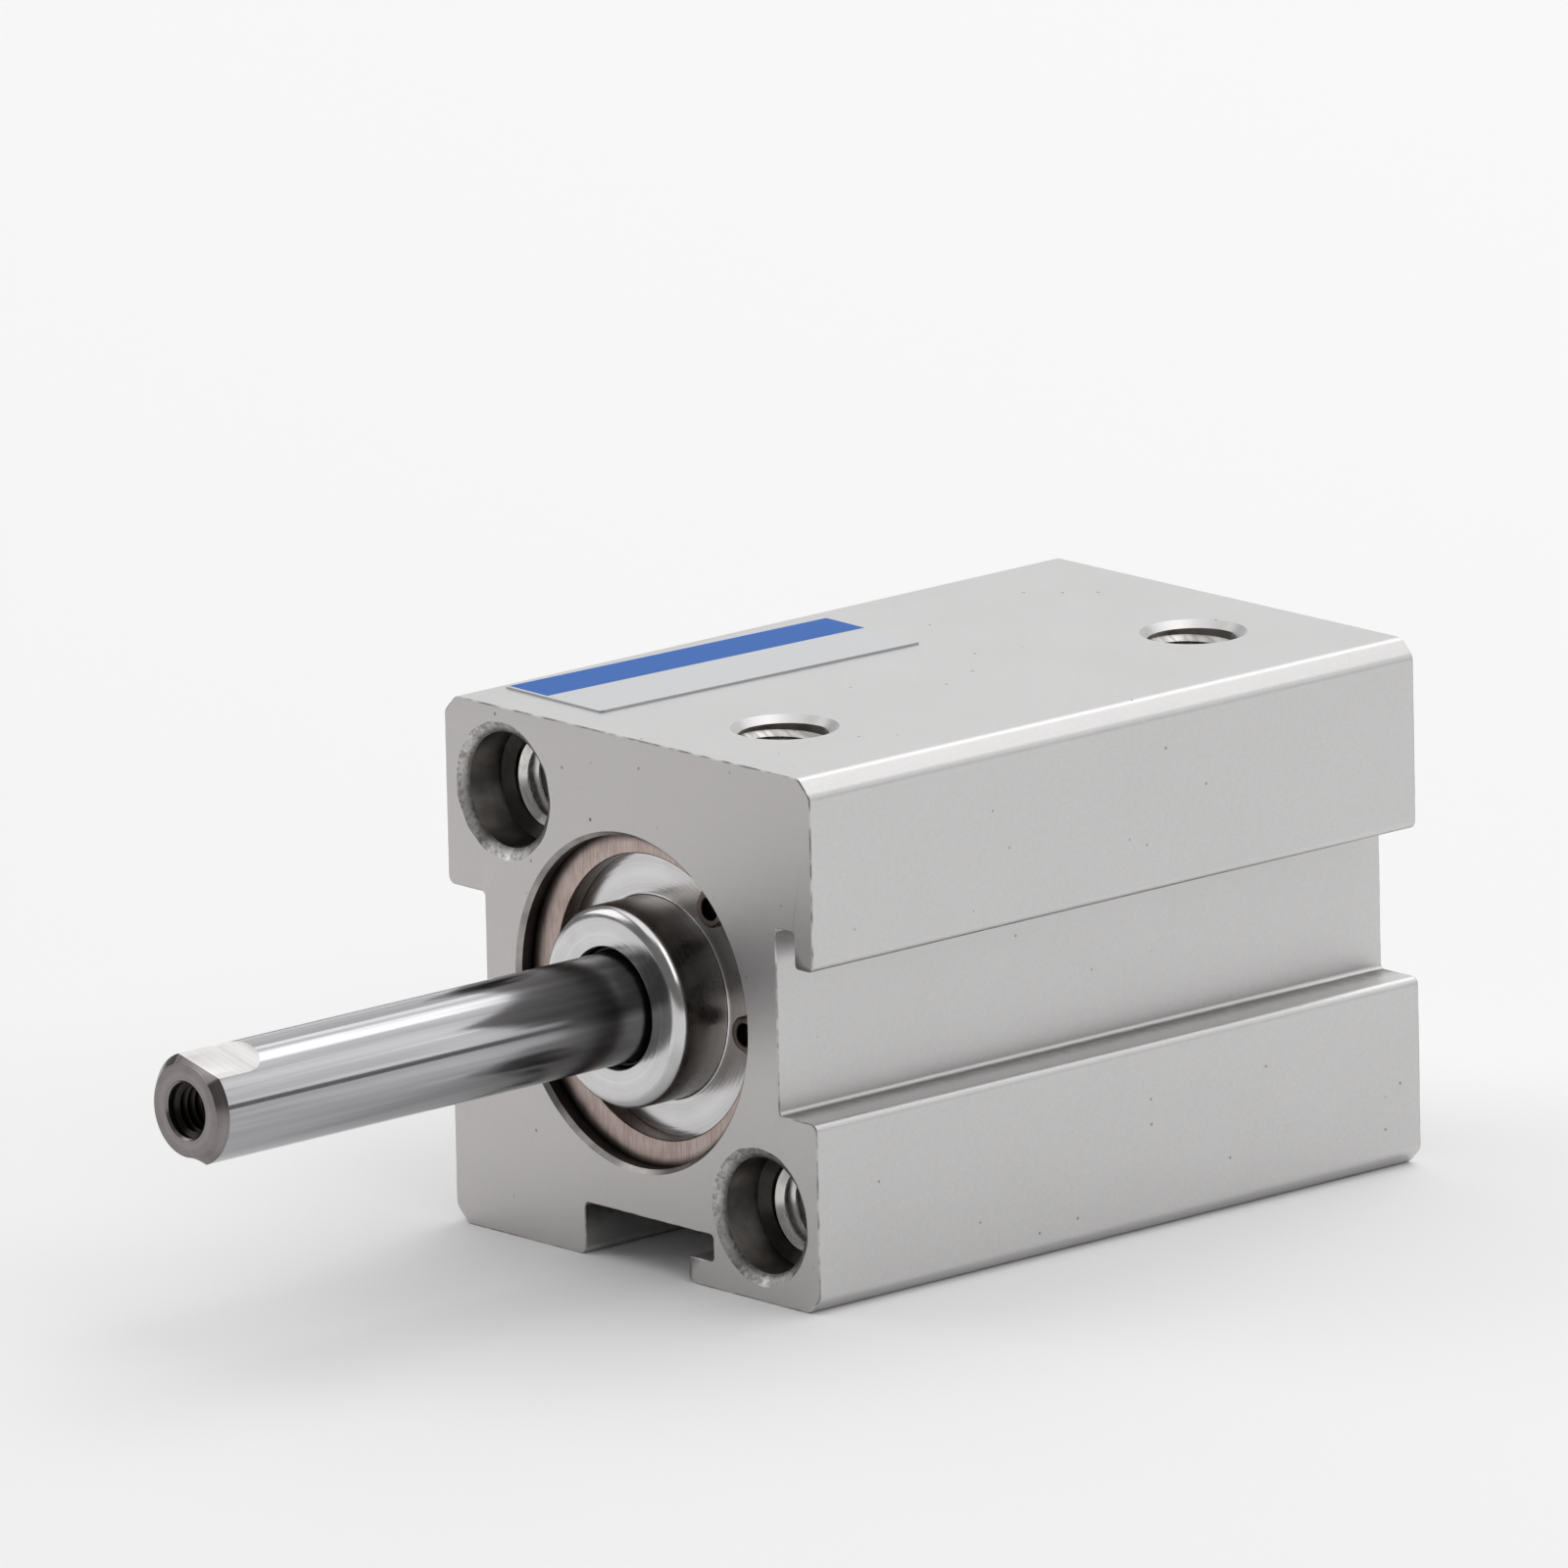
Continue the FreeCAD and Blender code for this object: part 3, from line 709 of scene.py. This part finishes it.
rear_corners = [
    (rear_high.x, 0, 0),
    (rear_high.x, rear_spigot_r, 0),
    (rear_seal_front, rear_spigot_r, 0),
    (rear_seal_front, rear_seal_floor_r, 0),
    (rear_seal_rear, rear_seal_floor_r, 0),
    (rear_seal_rear, rear_spigot_r, 0),
    (rear_seat, rear_spigot_r, 0),
    (rear_seat, rear_flange_r, 0),
    (rear_low.x, rear_flange_r, 0),
    (rear_low.x, rear_recess_r + rear_recess_depth, rear_recess_round),
    (rear_low.x + rear_recess_depth, rear_recess_r, rear_recess_round),
    (rear_low.x + rear_recess_depth, 0, 0),
]
rear_finish = turned_alloy("rear_turned_alloy", (0.46, 0.45, 0.44, 1), (0.64, 0.63, 0.615, 1), 0.26)
rear_cover = turned_piece("rear_cover_disc", rear_corners, bore_count, [rear_finish])
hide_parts("rear_cover")
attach(rear_cover, "barrel")

# Inner pieces: the piston with its seals, wear ring and bumpers, the covers' O-rings and the rod's bush.
# They lie sealed in the barrel, so each keeps its solid and gets the finish of its own material.


def moulded(name, dark, light, roughness):
    """Moulded or pressed material with a fine pore grain."""
    material, place, shader = start_finish(name, {})
    pores = place.noise(0.12 * MM, 3.0)
    pores.tint(dark, light).to(shader, "Base Color")
    (roughness + (pores - 0.5) * 0.2).to(shader, "Roughness")
    pores.bump(0.006 * MM).to(shader, "Normal")
    return material


def sintered_bronze():
    """Oil-filled sintered bronze with open pores."""
    material, place, shader = start_finish("sintered_bronze", {"Metallic": 1.0})
    pores = place.noise(0.08 * MM, 4.0)
    pores.tint((0.20, 0.12, 0.05, 1), (0.66, 0.46, 0.24, 1)).to(shader, "Base Color")
    (0.5 - pores * 0.2).to(shader, "Roughness")
    pores.bump(0.006 * MM).to(shader, "Normal")
    return material


black_rubber = moulded("black_rubber", (0.012, 0.012, 0.012, 1), (0.035, 0.034, 0.033, 1), 0.5)
urethane = moulded("bumper_urethane", (0.42, 0.34, 0.20, 1), (0.55, 0.46, 0.30, 1), 0.45)
wear_resin = moulded("wear_band_resin", (0.62, 0.58, 0.50, 1), (0.74, 0.71, 0.64, 1), 0.5)
piston_alloy = turned_alloy("piston_turned_alloy", (0.55, 0.55, 0.55, 1), (0.74, 0.74, 0.74, 1), 0.3)
inner_finishes = {
    "front_cover_o_ring": black_rubber,
    "rear_cover_o_ring": black_rubber,
    "piston_o_ring": black_rubber,
    "piston_seal": black_rubber,
    "wear_ring": wear_resin,
    "front_bumper": urethane,
    "rear_bumper": urethane,
    "piston": piston_alloy,
    "rod_bush": sintered_bronze(),
}
for node, finish in inner_finishes.items():
    frame["nodes"][node].material_slots[0].material = finish

# Piston rod: steel bar, ground, hard-chromed and polished. A round cutter mills two wrench flats through
# the chrome near its end, which is faced, chamfered and tapped. Its tail is riveted through the piston.
rod_low, rod_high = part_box("piston_rod")
rod_tip = rod_high.x
rod_r = 3.0 * MM
rod_step = radians(2.5)
rod_shoulder = -8.3 * MM
rod_rivet = -13.2 * MM
rod_rivet_r = 2.5 * MM
rod_spigot_r = 2.0 * MM
rod_end_chamfer = 0.5 * MM
rod_flat_from_axis = 2.5 * MM
rod_flat_start = rod_tip - 4.0 * MM
flat_cutter_r = 2.0 * MM
flat_runout_steps = 8
rod_flat_direction = radians(76)
rod_thread_r = mounts["rod_end_thread"]["dims"]["r_mm"] * MM
rod_thread_foot = rod_tip - 6.0 * MM
rod_thread_pitch = 0.5 * MM
rod_thread_depth = 0.27 * MM
rod_thread_chamfer = 0.12 * MM
rod_face_margin = 0.01 * MM
# Painted dark reflection on the rod: full as far as the first distance, gone at the second.
dark_reflection_full = 2 * MM
dark_reflection_end = 16 * MM
dark_reflection_raggedness = 0.8 * MM
CHROME, MILLED, FACED = range(3)


def hard_chrome():
    """Mirror chrome: faint grinding lines, streaks where the seal wipes it, and near the boss a painted dark
    reflection, with the chrome a little rougher there.
    """
    dark = (0.35, 0.35, 0.364, 1)
    light = (0.48, 0.48, 0.494, 1)
    dark_reflection_colour = (0.09, 0.088, 0.086, 1)
    material, place, shader = start_finish("hard_chrome", {"Metallic": 1.0})
    grinding = place.stretched((1.0, 0.02, 0.02)).noise(0.05 * MM)
    wipes = place.stretched((0.02, 1.0, 1.0)).noise(0.5 * MM)
    bare = wipes.rise(0.3, 0.7).tint(dark, light)
    x, _, _ = split(place)
    # Painted dark reflection: the chrome darker near the boss, fading out along the rod.
    film = 1 - (x + wipes * dark_reflection_raggedness).rise(dark_reflection_full, dark_reflection_end)
    (film * 0.72).tint(bare, dark_reflection_colour).to(shader, "Base Color")
    (0.05 + wipes * 0.07 + grinding * 0.03 + film * 0.15).to(shader, "Roughness")
    grinding.bump(0.0003 * MM).to(shader, "Normal")
    return material


def milled_steel():
    """Wrench flats: bright steel with lines across, left by the mill."""
    material, place, shader = start_finish("milled_steel", {"Metallic": 1.0})
    lines = place.stretched((1.0, 0.03, 0.03)).noise(0.12 * MM)
    lines.tint((0.62, 0.61, 0.60, 1), (0.82, 0.81, 0.80, 1)).to(shader, "Base Color")
    (0.26 + lines * 0.16).to(shader, "Roughness")
    lines.bump(0.004 * MM).to(shader, "Normal")
    return material


def flat_spot(x, turn, share):
    """A point (x, radius) of the rod where flats are milled. Share 0 lies on the round, 1 on the flat."""
    towards_flat = abs(cos(turn - rod_flat_direction))
    depth = rod_r * towards_flat - rod_flat_from_axis
    if depth <= 0:
        return x, rod_r
    lift = acos(1 - depth / flat_cutter_r) * (1 - share)
    from_axis = rod_flat_from_axis + flat_cutter_r * (1 - cos(lift))
    return x - flat_cutter_r * sin(lift), from_axis / towards_flat


flat_half_angle = acos(rod_flat_from_axis / rod_r)
flat_depth = rod_r - rod_flat_from_axis
flat_runout_end = rod_flat_start + sqrt(2 * flat_cutter_r * flat_depth - flat_depth ** 2)
rod_turns = []
rod_keys = []
for half_turn in (0, pi):
    rod_keys.append(rod_flat_direction + half_turn - flat_half_angle)
    rod_keys.append(rod_flat_direction + half_turn + flat_half_angle)
for index, key in enumerate(rod_keys):
    next_key = rod_keys[(index + 1) % len(rod_keys)]
    span = (next_key - key) % (2 * pi)
    steps = round(span / rod_step)
    rod_turns += [key + span * step / steps for step in range(steps)]

# Rings of the rod as (x, radius, share of the flat), with no share where no flat is cut.
rod_outline = [
    (rod_low.x, 0, None),
    (rod_low.x, rod_spigot_r, None),
    (rod_rivet, rod_rivet_r, None),
    (rod_rivet, rod_spigot_r, None),
    (rod_shoulder, rod_spigot_r, None),
    (rod_shoulder, rod_r, None),
    *[(flat_runout_end, rod_r, step / flat_runout_steps) for step in range(flat_runout_steps + 1)],
    (rod_tip - rod_end_chamfer, rod_r, 1),
    (rod_tip, rod_r - rod_end_chamfer, None),
    (rod_tip, rod_thread_r + rod_thread_chamfer, None),
    (rod_tip - rod_thread_chamfer, rod_thread_r, None),
    (rod_thread_foot, rod_thread_r, None),
    (rod_thread_foot - rod_thread_r / tan(drill_point), 0, None),
]
rod_mesh = bmesh.new()
rod_rings = []
for level, radius, flat_share in rod_outline:
    ring = []
    for turn in rod_turns if radius > 0 else rod_turns[:1]:
        x, reach = (level, radius) if flat_share is None else flat_spot(level, turn, flat_share)
        ring.append(rod_mesh.verts.new((x, reach * cos(turn), reach * sin(turn))))
    rod_rings.append(ring)
for one, other in zip(rod_rings, rod_rings[1:]):
    bridge(rod_mesh, one, other, CHROME)
flat_normal = Vector((0, cos(rod_flat_direction), sin(rod_flat_direction)))
for face in rod_mesh.faces:
    middle = face.calc_center_median()
    towards_flat = abs(middle.dot(flat_normal))
    if middle.x > rod_tip - rod_end_chamfer or middle.yz.length < rod_spigot_r:
        face.material_index = FACED
    elif middle.x >= rod_flat_start - rod_face_margin and towards_flat > rod_flat_from_axis - rod_face_margin:
        face.material_index = MILLED
faced_steel = turned_alloy("faced_steel", (0.16, 0.145, 0.142, 1), (0.31, 0.285, 0.28, 1), 0.3)
# The tapped hole in the rod's end gets a near-black copy of the turned finish: painted shade deep in the
# hole.
shaded_tapped_steel = turned_alloy("shaded_tapped_steel", (0.02, 0.018, 0.016, 1), (0.06, 0.052, 0.048, 1), 0.35)
rod = finished(rod_mesh, "chromed_rod", [hard_chrome(), milled_steel(), faced_steel], smooth_angle=28)
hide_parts("piston_rod")
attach(rod, "rod")

rod_thread_sizes = {
    "Radius": rod_thread_r,
    "Depth": rod_thread_depth,
    "Pitch": rod_thread_pitch,
    "Turns": (rod_tip - rod_thread_foot - rod_thread_chamfer) / rod_thread_pitch - 1,
    "Steps": thread_steps,
    "Finish": shaded_tapped_steel,
}
rod_thread_start = (rod_tip - rod_thread_chamfer - rod_thread_pitch / 2, 0, 0)
rod_thread = threads("rod_end_thread", [(rod_thread_start, (-1, 0, 0))], rod_thread_sizes)
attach(rod_thread, "rod")

# Rod packing: a moulded rubber lip seal in the boss of the front cover.
# Only its wiper lip shows, as a dark ring that hugs the rod.
packing_low, packing_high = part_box("rod_packing")
packing_r = packing_high.y
packing_front = -0.25 * MM
packing_lip_r = rod_r + 0.05 * MM
packing_root_r = rod_r + 0.23 * MM
packing_lip_length = 0.6 * MM
packing_lip_round = 0.04 * MM
packing_nose_round = 0.08 * MM
packing_corners = [
    (packing_low.x, packing_r, 0),
    (packing_front, packing_r, 0),
    (packing_front, packing_root_r, 0),
    (packing_high.x, packing_root_r, packing_nose_round),
    (packing_high.x, packing_lip_r, packing_lip_round),
    (packing_front - packing_lip_length, packing_root_r, 0),
    (packing_low.x + packing_lip_length, packing_root_r, 0),
    (packing_low.x, packing_lip_r, 0),
]
packing = turned_piece("wiper_seal", packing_corners, bore_count, [black_rubber])
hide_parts("rod_packing")
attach(packing, "barrel")

# Front cover: turned from aluminium bar and plated bright, with the boss that carries the rod's packing and
# bush. It drops into the barrel on an O-ring, as far as the seat, and the retaining ring holds it there.
cover_low, cover_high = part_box("front_cover")
cover_face = -2.0 * MM
cover_flange_r = cover_high.y
cover_spigot_r = 7.97 * MM
cover_seal_front = -3.25 * MM
cover_seal_rear = -4.55 * MM
cover_seal_floor_r = cover_flange_r - 0.9 * MM
boss_r = 5.5 * MM
boss_rim_round = 0.7 * MM
boss_foot_round = 0.12 * MM
boss_opening_r = 3.3 * MM
boss_opening_round = 0.1 * MM
packing_groove_front = -0.2 * MM
packing_groove_rear = -2.8 * MM
packing_groove_r = 4.6 * MM
land_r = 3.2 * MM
bush_front = -3.5 * MM
bush_seat_r = 4.06 * MM
boss_side_margin = 0.05 * MM
cover_corners = [
    (cover_low.x, bush_seat_r, 0),
    (cover_low.x, cover_spigot_r, 0),
    (front_seat, cover_spigot_r, 0),
    (front_seat, cover_flange_r, 0),
    (cover_seal_rear, cover_flange_r, 0),
    (cover_seal_rear, cover_seal_floor_r, 0),
    (cover_seal_front, cover_seal_floor_r, 0),
    (cover_seal_front, cover_flange_r, 0),
    (cover_face, cover_flange_r, 0),
    (cover_face, boss_r, boss_foot_round),
    (cover_high.x, boss_r, boss_rim_round),
    (cover_high.x, boss_opening_r, boss_opening_round),
    (packing_groove_front, boss_opening_r, 0),
    (packing_groove_front, packing_groove_r, 0),
    (packing_groove_rear, packing_groove_r, 0),
    (packing_groove_rear, land_r, 0),
    (bush_front, land_r, 0),
    (bush_front, bush_seat_r, 0),
]
AS_TURNED, PAINTED_DARK_SIDE = range(2)


def cover_finish(middle):
    """The boss's side as far as the rim gets a darker copy of the plating with finer rings, its darkness a
    painted reflection, and every other face is as turned.
    """
    on_side = middle.yz.length > boss_r - boss_side_margin and middle.x > cover_face + boss_foot_round
    return PAINTED_DARK_SIDE if on_side else AS_TURNED


cover_finishes = [
    turned_alloy("turned_plating", (0.55, 0.54, 0.54, 1), (0.72, 0.708, 0.71, 1), 0.2, 0.006 * MM),
    # A darker copy of the plating for the boss's side: painted dark reflection.
    turned_alloy("painted_dark_side_plating", (0.30, 0.28, 0.265, 1), (0.43, 0.405, 0.385, 1), 0.3, 0.001 * MM),
]
front_cover = turned_piece("front_cover_boss", cover_corners, bore_count, cover_finishes, cover_finish)
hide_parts("front_cover")
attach(front_cover, "barrel")

# Retaining ring: stamped from spring steel and tempered brown, widest opposite its gap.
# It springs into the groove in front of the cover; pliers grip it by the holes in its two lugs.
ring_low, ring_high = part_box("front_retaining_ring")
ring_r = 9.47 * MM
ring_inner_r = ring_r - 1.75 * MM
ring_eccentricity = 0.75 * MM
ring_gap = radians(22)
ring_gap_half = radians(18.5)
lug_half = radians(26)
lug_r = 1.0 * MM
lug_from_axis = ring_r - 1.62 * MM
lug_hole_r = 0.6 * MM
lug_hole_count = 40
ring_edge_round = 0.07 * MM
ring_shade_r = 8.4 * MM
ring_step = radians(0.75)
TEMPERED, RING_EDGE_SHADE = range(2)


def ring_inside(turn):
    """Inner radius of the ring in a direction measured from the middle of its gap."""
    across = ring_eccentricity * sin(turn)
    inner = ring_eccentricity * cos(turn) + sqrt(ring_inner_r ** 2 - across ** 2)
    for side in (-1, 1):
        lug_across = lug_from_axis * sin(turn - side * lug_half)
        if abs(lug_across) < lug_r and cos(turn - side * lug_half) > 0:
            reach = lug_from_axis * cos(turn - side * lug_half) - sqrt(lug_r ** 2 - lug_across ** 2)
            inner = min(inner, reach)
    return inner


def ring_point(radius, turn):
    """A point (y, z) of the ring in a direction measured from the middle of its gap."""
    return Vector((radius * cos(ring_gap + turn), radius * sin(ring_gap + turn)))


def tempered_steel(name, dark, light):
    """Spring steel, tempered brown: fine scratches, and painted shade at the lugs and towards the groove."""
    ring_painted_shade_colour = (0.02, 0.017, 0.015, 1)
    material, place, shader = start_finish(name, {"Metallic": 1.0})
    scratches = place.stretched((1.0, 1.0, 0.08)).noise(0.08 * MM, 3.0)
    patches = place.noise(1.5 * MM)
    # Painted shade: darker round the two lugs and towards the groove at the outer edge.
    lug_painted_shade = 0
    for side in (-1, 1):
        lug = Vector((ring_high.x, *ring_point(lug_from_axis, side * lug_half)))
        away = place.node("ShaderNodeVectorMath", {"operation": "DISTANCE"}, {0: place, 1: lug}, "Value")
        lug_painted_shade = (1 - away.rise(0.8 * lug_r, 1.6 * lug_r)) + lug_painted_shade
    _, radius = turning_spot(place)
    shade = place.math("MAXIMUM", lug_painted_shade * 0.7, radius.rise(ring_shade_r, seat_r) * 0.9)
    colour = (scratches * 0.6 + patches * 0.4).rise(0.3, 0.7).tint(dark, light)
    shade.tint(colour, ring_painted_shade_colour).to(shader, "Base Color")
    (0.27 + patches * 0.18).to(shader, "Roughness")
    scratches.bump(0.002 * MM).to(shader, "Normal")
    return material


ring_span = 2 * (pi - ring_gap_half)
ring_steps = round(ring_span / ring_step)
ring_turns = [ring_gap_half + ring_span * step / ring_steps for step in range(ring_steps + 1)]
ring_outline = [ring_point(ring_r, turn) for turn in ring_turns]
ring_outline += [ring_point(ring_inside(turn), turn) for turn in reversed(ring_turns)]
ring_loops = [ring_outline]
for side in (-1, 1):
    centre = ring_point(lug_from_axis, side * lug_half)
    circle = [2 * pi * step / lug_hole_count for step in range(lug_hole_count)]
    ring_loops.append([centre + lug_hole_r * Vector((cos(turn), -sin(turn))) for turn in circle])
ring_mesh = bmesh.new()
ring_walls = []
for loop in ring_loops:
    ring_walls.append(skin(ring_mesh, loop, ring_high.x, ring_low.x, ring_edge_round, RING_EDGE_SHADE))
fill(ring_mesh, [wall[0] for wall in ring_walls], (1, 0, 0), TEMPERED)
fill(ring_mesh, [wall[-1] for wall in ring_walls], (-1, 0, 0), TEMPERED)
ring_finishes = [
    tempered_steel("tempered_steel", (0.35, 0.265, 0.238, 1), (0.57, 0.468, 0.435, 1)),
    # A near-black copy of the tempered finish for the ring's narrow walls: painted shade.
    tempered_steel("ring_edge_painted_shade", (0.05, 0.038, 0.032, 1), (0.14, 0.105, 0.09, 1)),
]
retaining_ring = finished(ring_mesh, "spring_ring", ring_finishes)
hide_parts("front_retaining_ring")
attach(retaining_ring, "barrel")

# Label: a thin printed film stuck on the upper face beside the front port, a little askew.
# A blue band runs along it, and the silver field beside the band is plain.
label_corner = Vector((-3.0 * MM, 1.45 * MM - half_side, half_side))
label_turn = radians(-2.1)
label_width = 8.1 * MM
band_near = 0.22 * MM
band_far = 3.42 * MM
band_start = 0.18 * MM
band_end = 22.2 * MM
print_blur = 0.03 * MM
border_line = 0.07 * MM


def printed_film():
    """Satin film: blue band printed on silver, with a thin grey line along its far edge."""
    line_colour = (0.30, 0.30, 0.30, 1)
    material, place, shader = start_finish("printed_film", {"Specular IOR Level": 0.2})
    turned_back = {"Vector": place, "Location": label_corner, "Rotation": (0, 0, label_turn)}
    x, y, _ = split(place.node("ShaderNodeMapping", {"vector_type": "TEXTURE"}, turned_back))
    along = 0 - x

    def between(value, low, high):
        past_low = value.rise(low - print_blur, low + print_blur)
        past_high = value.rise(high - print_blur, high + print_blur)
        return past_low * (1 - past_high)

    band = between(y, band_near, band_far) * between(along, band_start, band_end)
    line = between(y, label_width - border_line, label_width)
    ink = place.noise(0.1 * MM)
    field = ink.tint((0.595, 0.60, 0.612, 1), (0.68, 0.686, 0.70, 1))
    blue = ink.tint((0.028, 0.122, 0.430, 1), (0.040, 0.148, 0.490, 1))
    print_colour = band.tint(field, blue)
    line.tint(print_colour, line_colour).to(shader, "Base Color")
    (0.46 + ink * 0.12 + band * 0.1).to(shader, "Roughness")
    (0.55 * (1 - band) * (1 - line)).to(shader, "Metallic")
    ink.bump(0.001 * MM).to(shader, "Normal")
    return material


frame["nodes"]["label"].material_slots[0].material = printed_film()

# Floor, light and camera: a pale matt floor under soft studio light, seen as the photograph was taken.
# The lamps stand where the top, the long chamfer, the sides and the rod mirror them towards the camera.
floor_level = barrel_low.z
floor_half = 4.0
floor_constants = {"Base Color": (0.92, 0.92, 0.92, 1), "Roughness": 1.0, "Specular IOR Level": 0.0}
studio_colour = (0.9, 0.9, 0.9, 1)
studio_strength = 0.21
floor_mesh = bmesh.new()
bmesh.ops.create_grid(floor_mesh, x_segments=1, y_segments=1, size=floor_half)
floor_data = bpy.data.meshes.new("floor")
floor_mesh.to_mesh(floor_data)
floor_mesh.free()
floor_data.transform(Matrix.Translation((0, 0, floor_level)))
floor_data.materials.append(start_finish("pale_floor", floor_constants)[0])
floor = bpy.data.objects.new("floor", floor_data)
bpy.context.scene.collection.objects.link(floor)

world = bpy.data.worlds.new("studio")
world.use_nodes = True
bpy.context.scene.world = world
background = world.node_tree.nodes["Background"]
background.inputs["Color"].default_value = studio_colour
background.inputs["Strength"].default_value = studio_strength


def softbox(name, spot, size, brightness):
    """A lamp with a level upper edge that points at the origin. The brightness is that of its face."""
    lamp = bpy.data.lights.new(name, "AREA")
    lamp.shape = "RECTANGLE"
    lamp.size, lamp.size_y = size
    lamp.energy = brightness * pi * lamp.size * lamp.size_y
    box = bpy.data.objects.new(name, lamp)
    box.location = spot
    box.rotation_euler = Vector(spot).to_track_quat("Z", "Y").to_euler()
    box.visible_camera = False
    bpy.context.scene.collection.objects.link(box)


softbox("back_softbox", (-0.66, 0.10, 0.76), (1.25, 0.6), 1.02)
softbox("side_softbox", (-0.65, 0.68, 0.31), (0.5, 0.4), 1.0)
softbox("low_softbox", (-0.62, -0.60, 0.42), (1.2, 0.75), 0.72)
softbox("top_softbox", (-0.08, -0.08, 1.0), (1.25, 1.25), 1.04)
softbox("fill_softbox", (0.05, 0.75, 0.85), (0.8, 0.8), 1.5)
softbox("front_softbox", (0.45, -0.75, 0.55), (0.6, 0.6), 1.5)

view_azimuth = radians(138.3276)
view_elevation = radians(13.7505)
view_roll = radians(-1.2786)
view_distance = 1.345672
view_aim = Vector((-0.010622, 0.000614, 0.010139))
photo_width = 1600
focal_pixels = 25882.31
back = Vector((
    sin(view_azimuth) * cos(view_elevation),
    -cos(view_azimuth) * cos(view_elevation),
    sin(view_elevation),
))
level_right = Vector((0, 0, 1)).cross(back).normalized()
level_up = back.cross(level_right)
right = level_right * cos(view_roll) + level_up * sin(view_roll)
up = back.cross(right)
lens = bpy.data.cameras.new("camera")
lens.sensor_width = 36
lens.lens = lens.sensor_width * focal_pixels / photo_width
lens.clip_start, lens.clip_end = 0.01, 20
camera = bpy.data.objects.new("camera", lens)
camera_turn = Matrix((right, up, back)).transposed().to_4x4()
camera.matrix_world = Matrix.Translation(view_aim + back * view_distance) @ camera_turn
bpy.context.scene.collection.objects.link(camera)
bpy.context.scene.camera = camera
bpy.context.scene.view_settings.view_transform = "Standard"
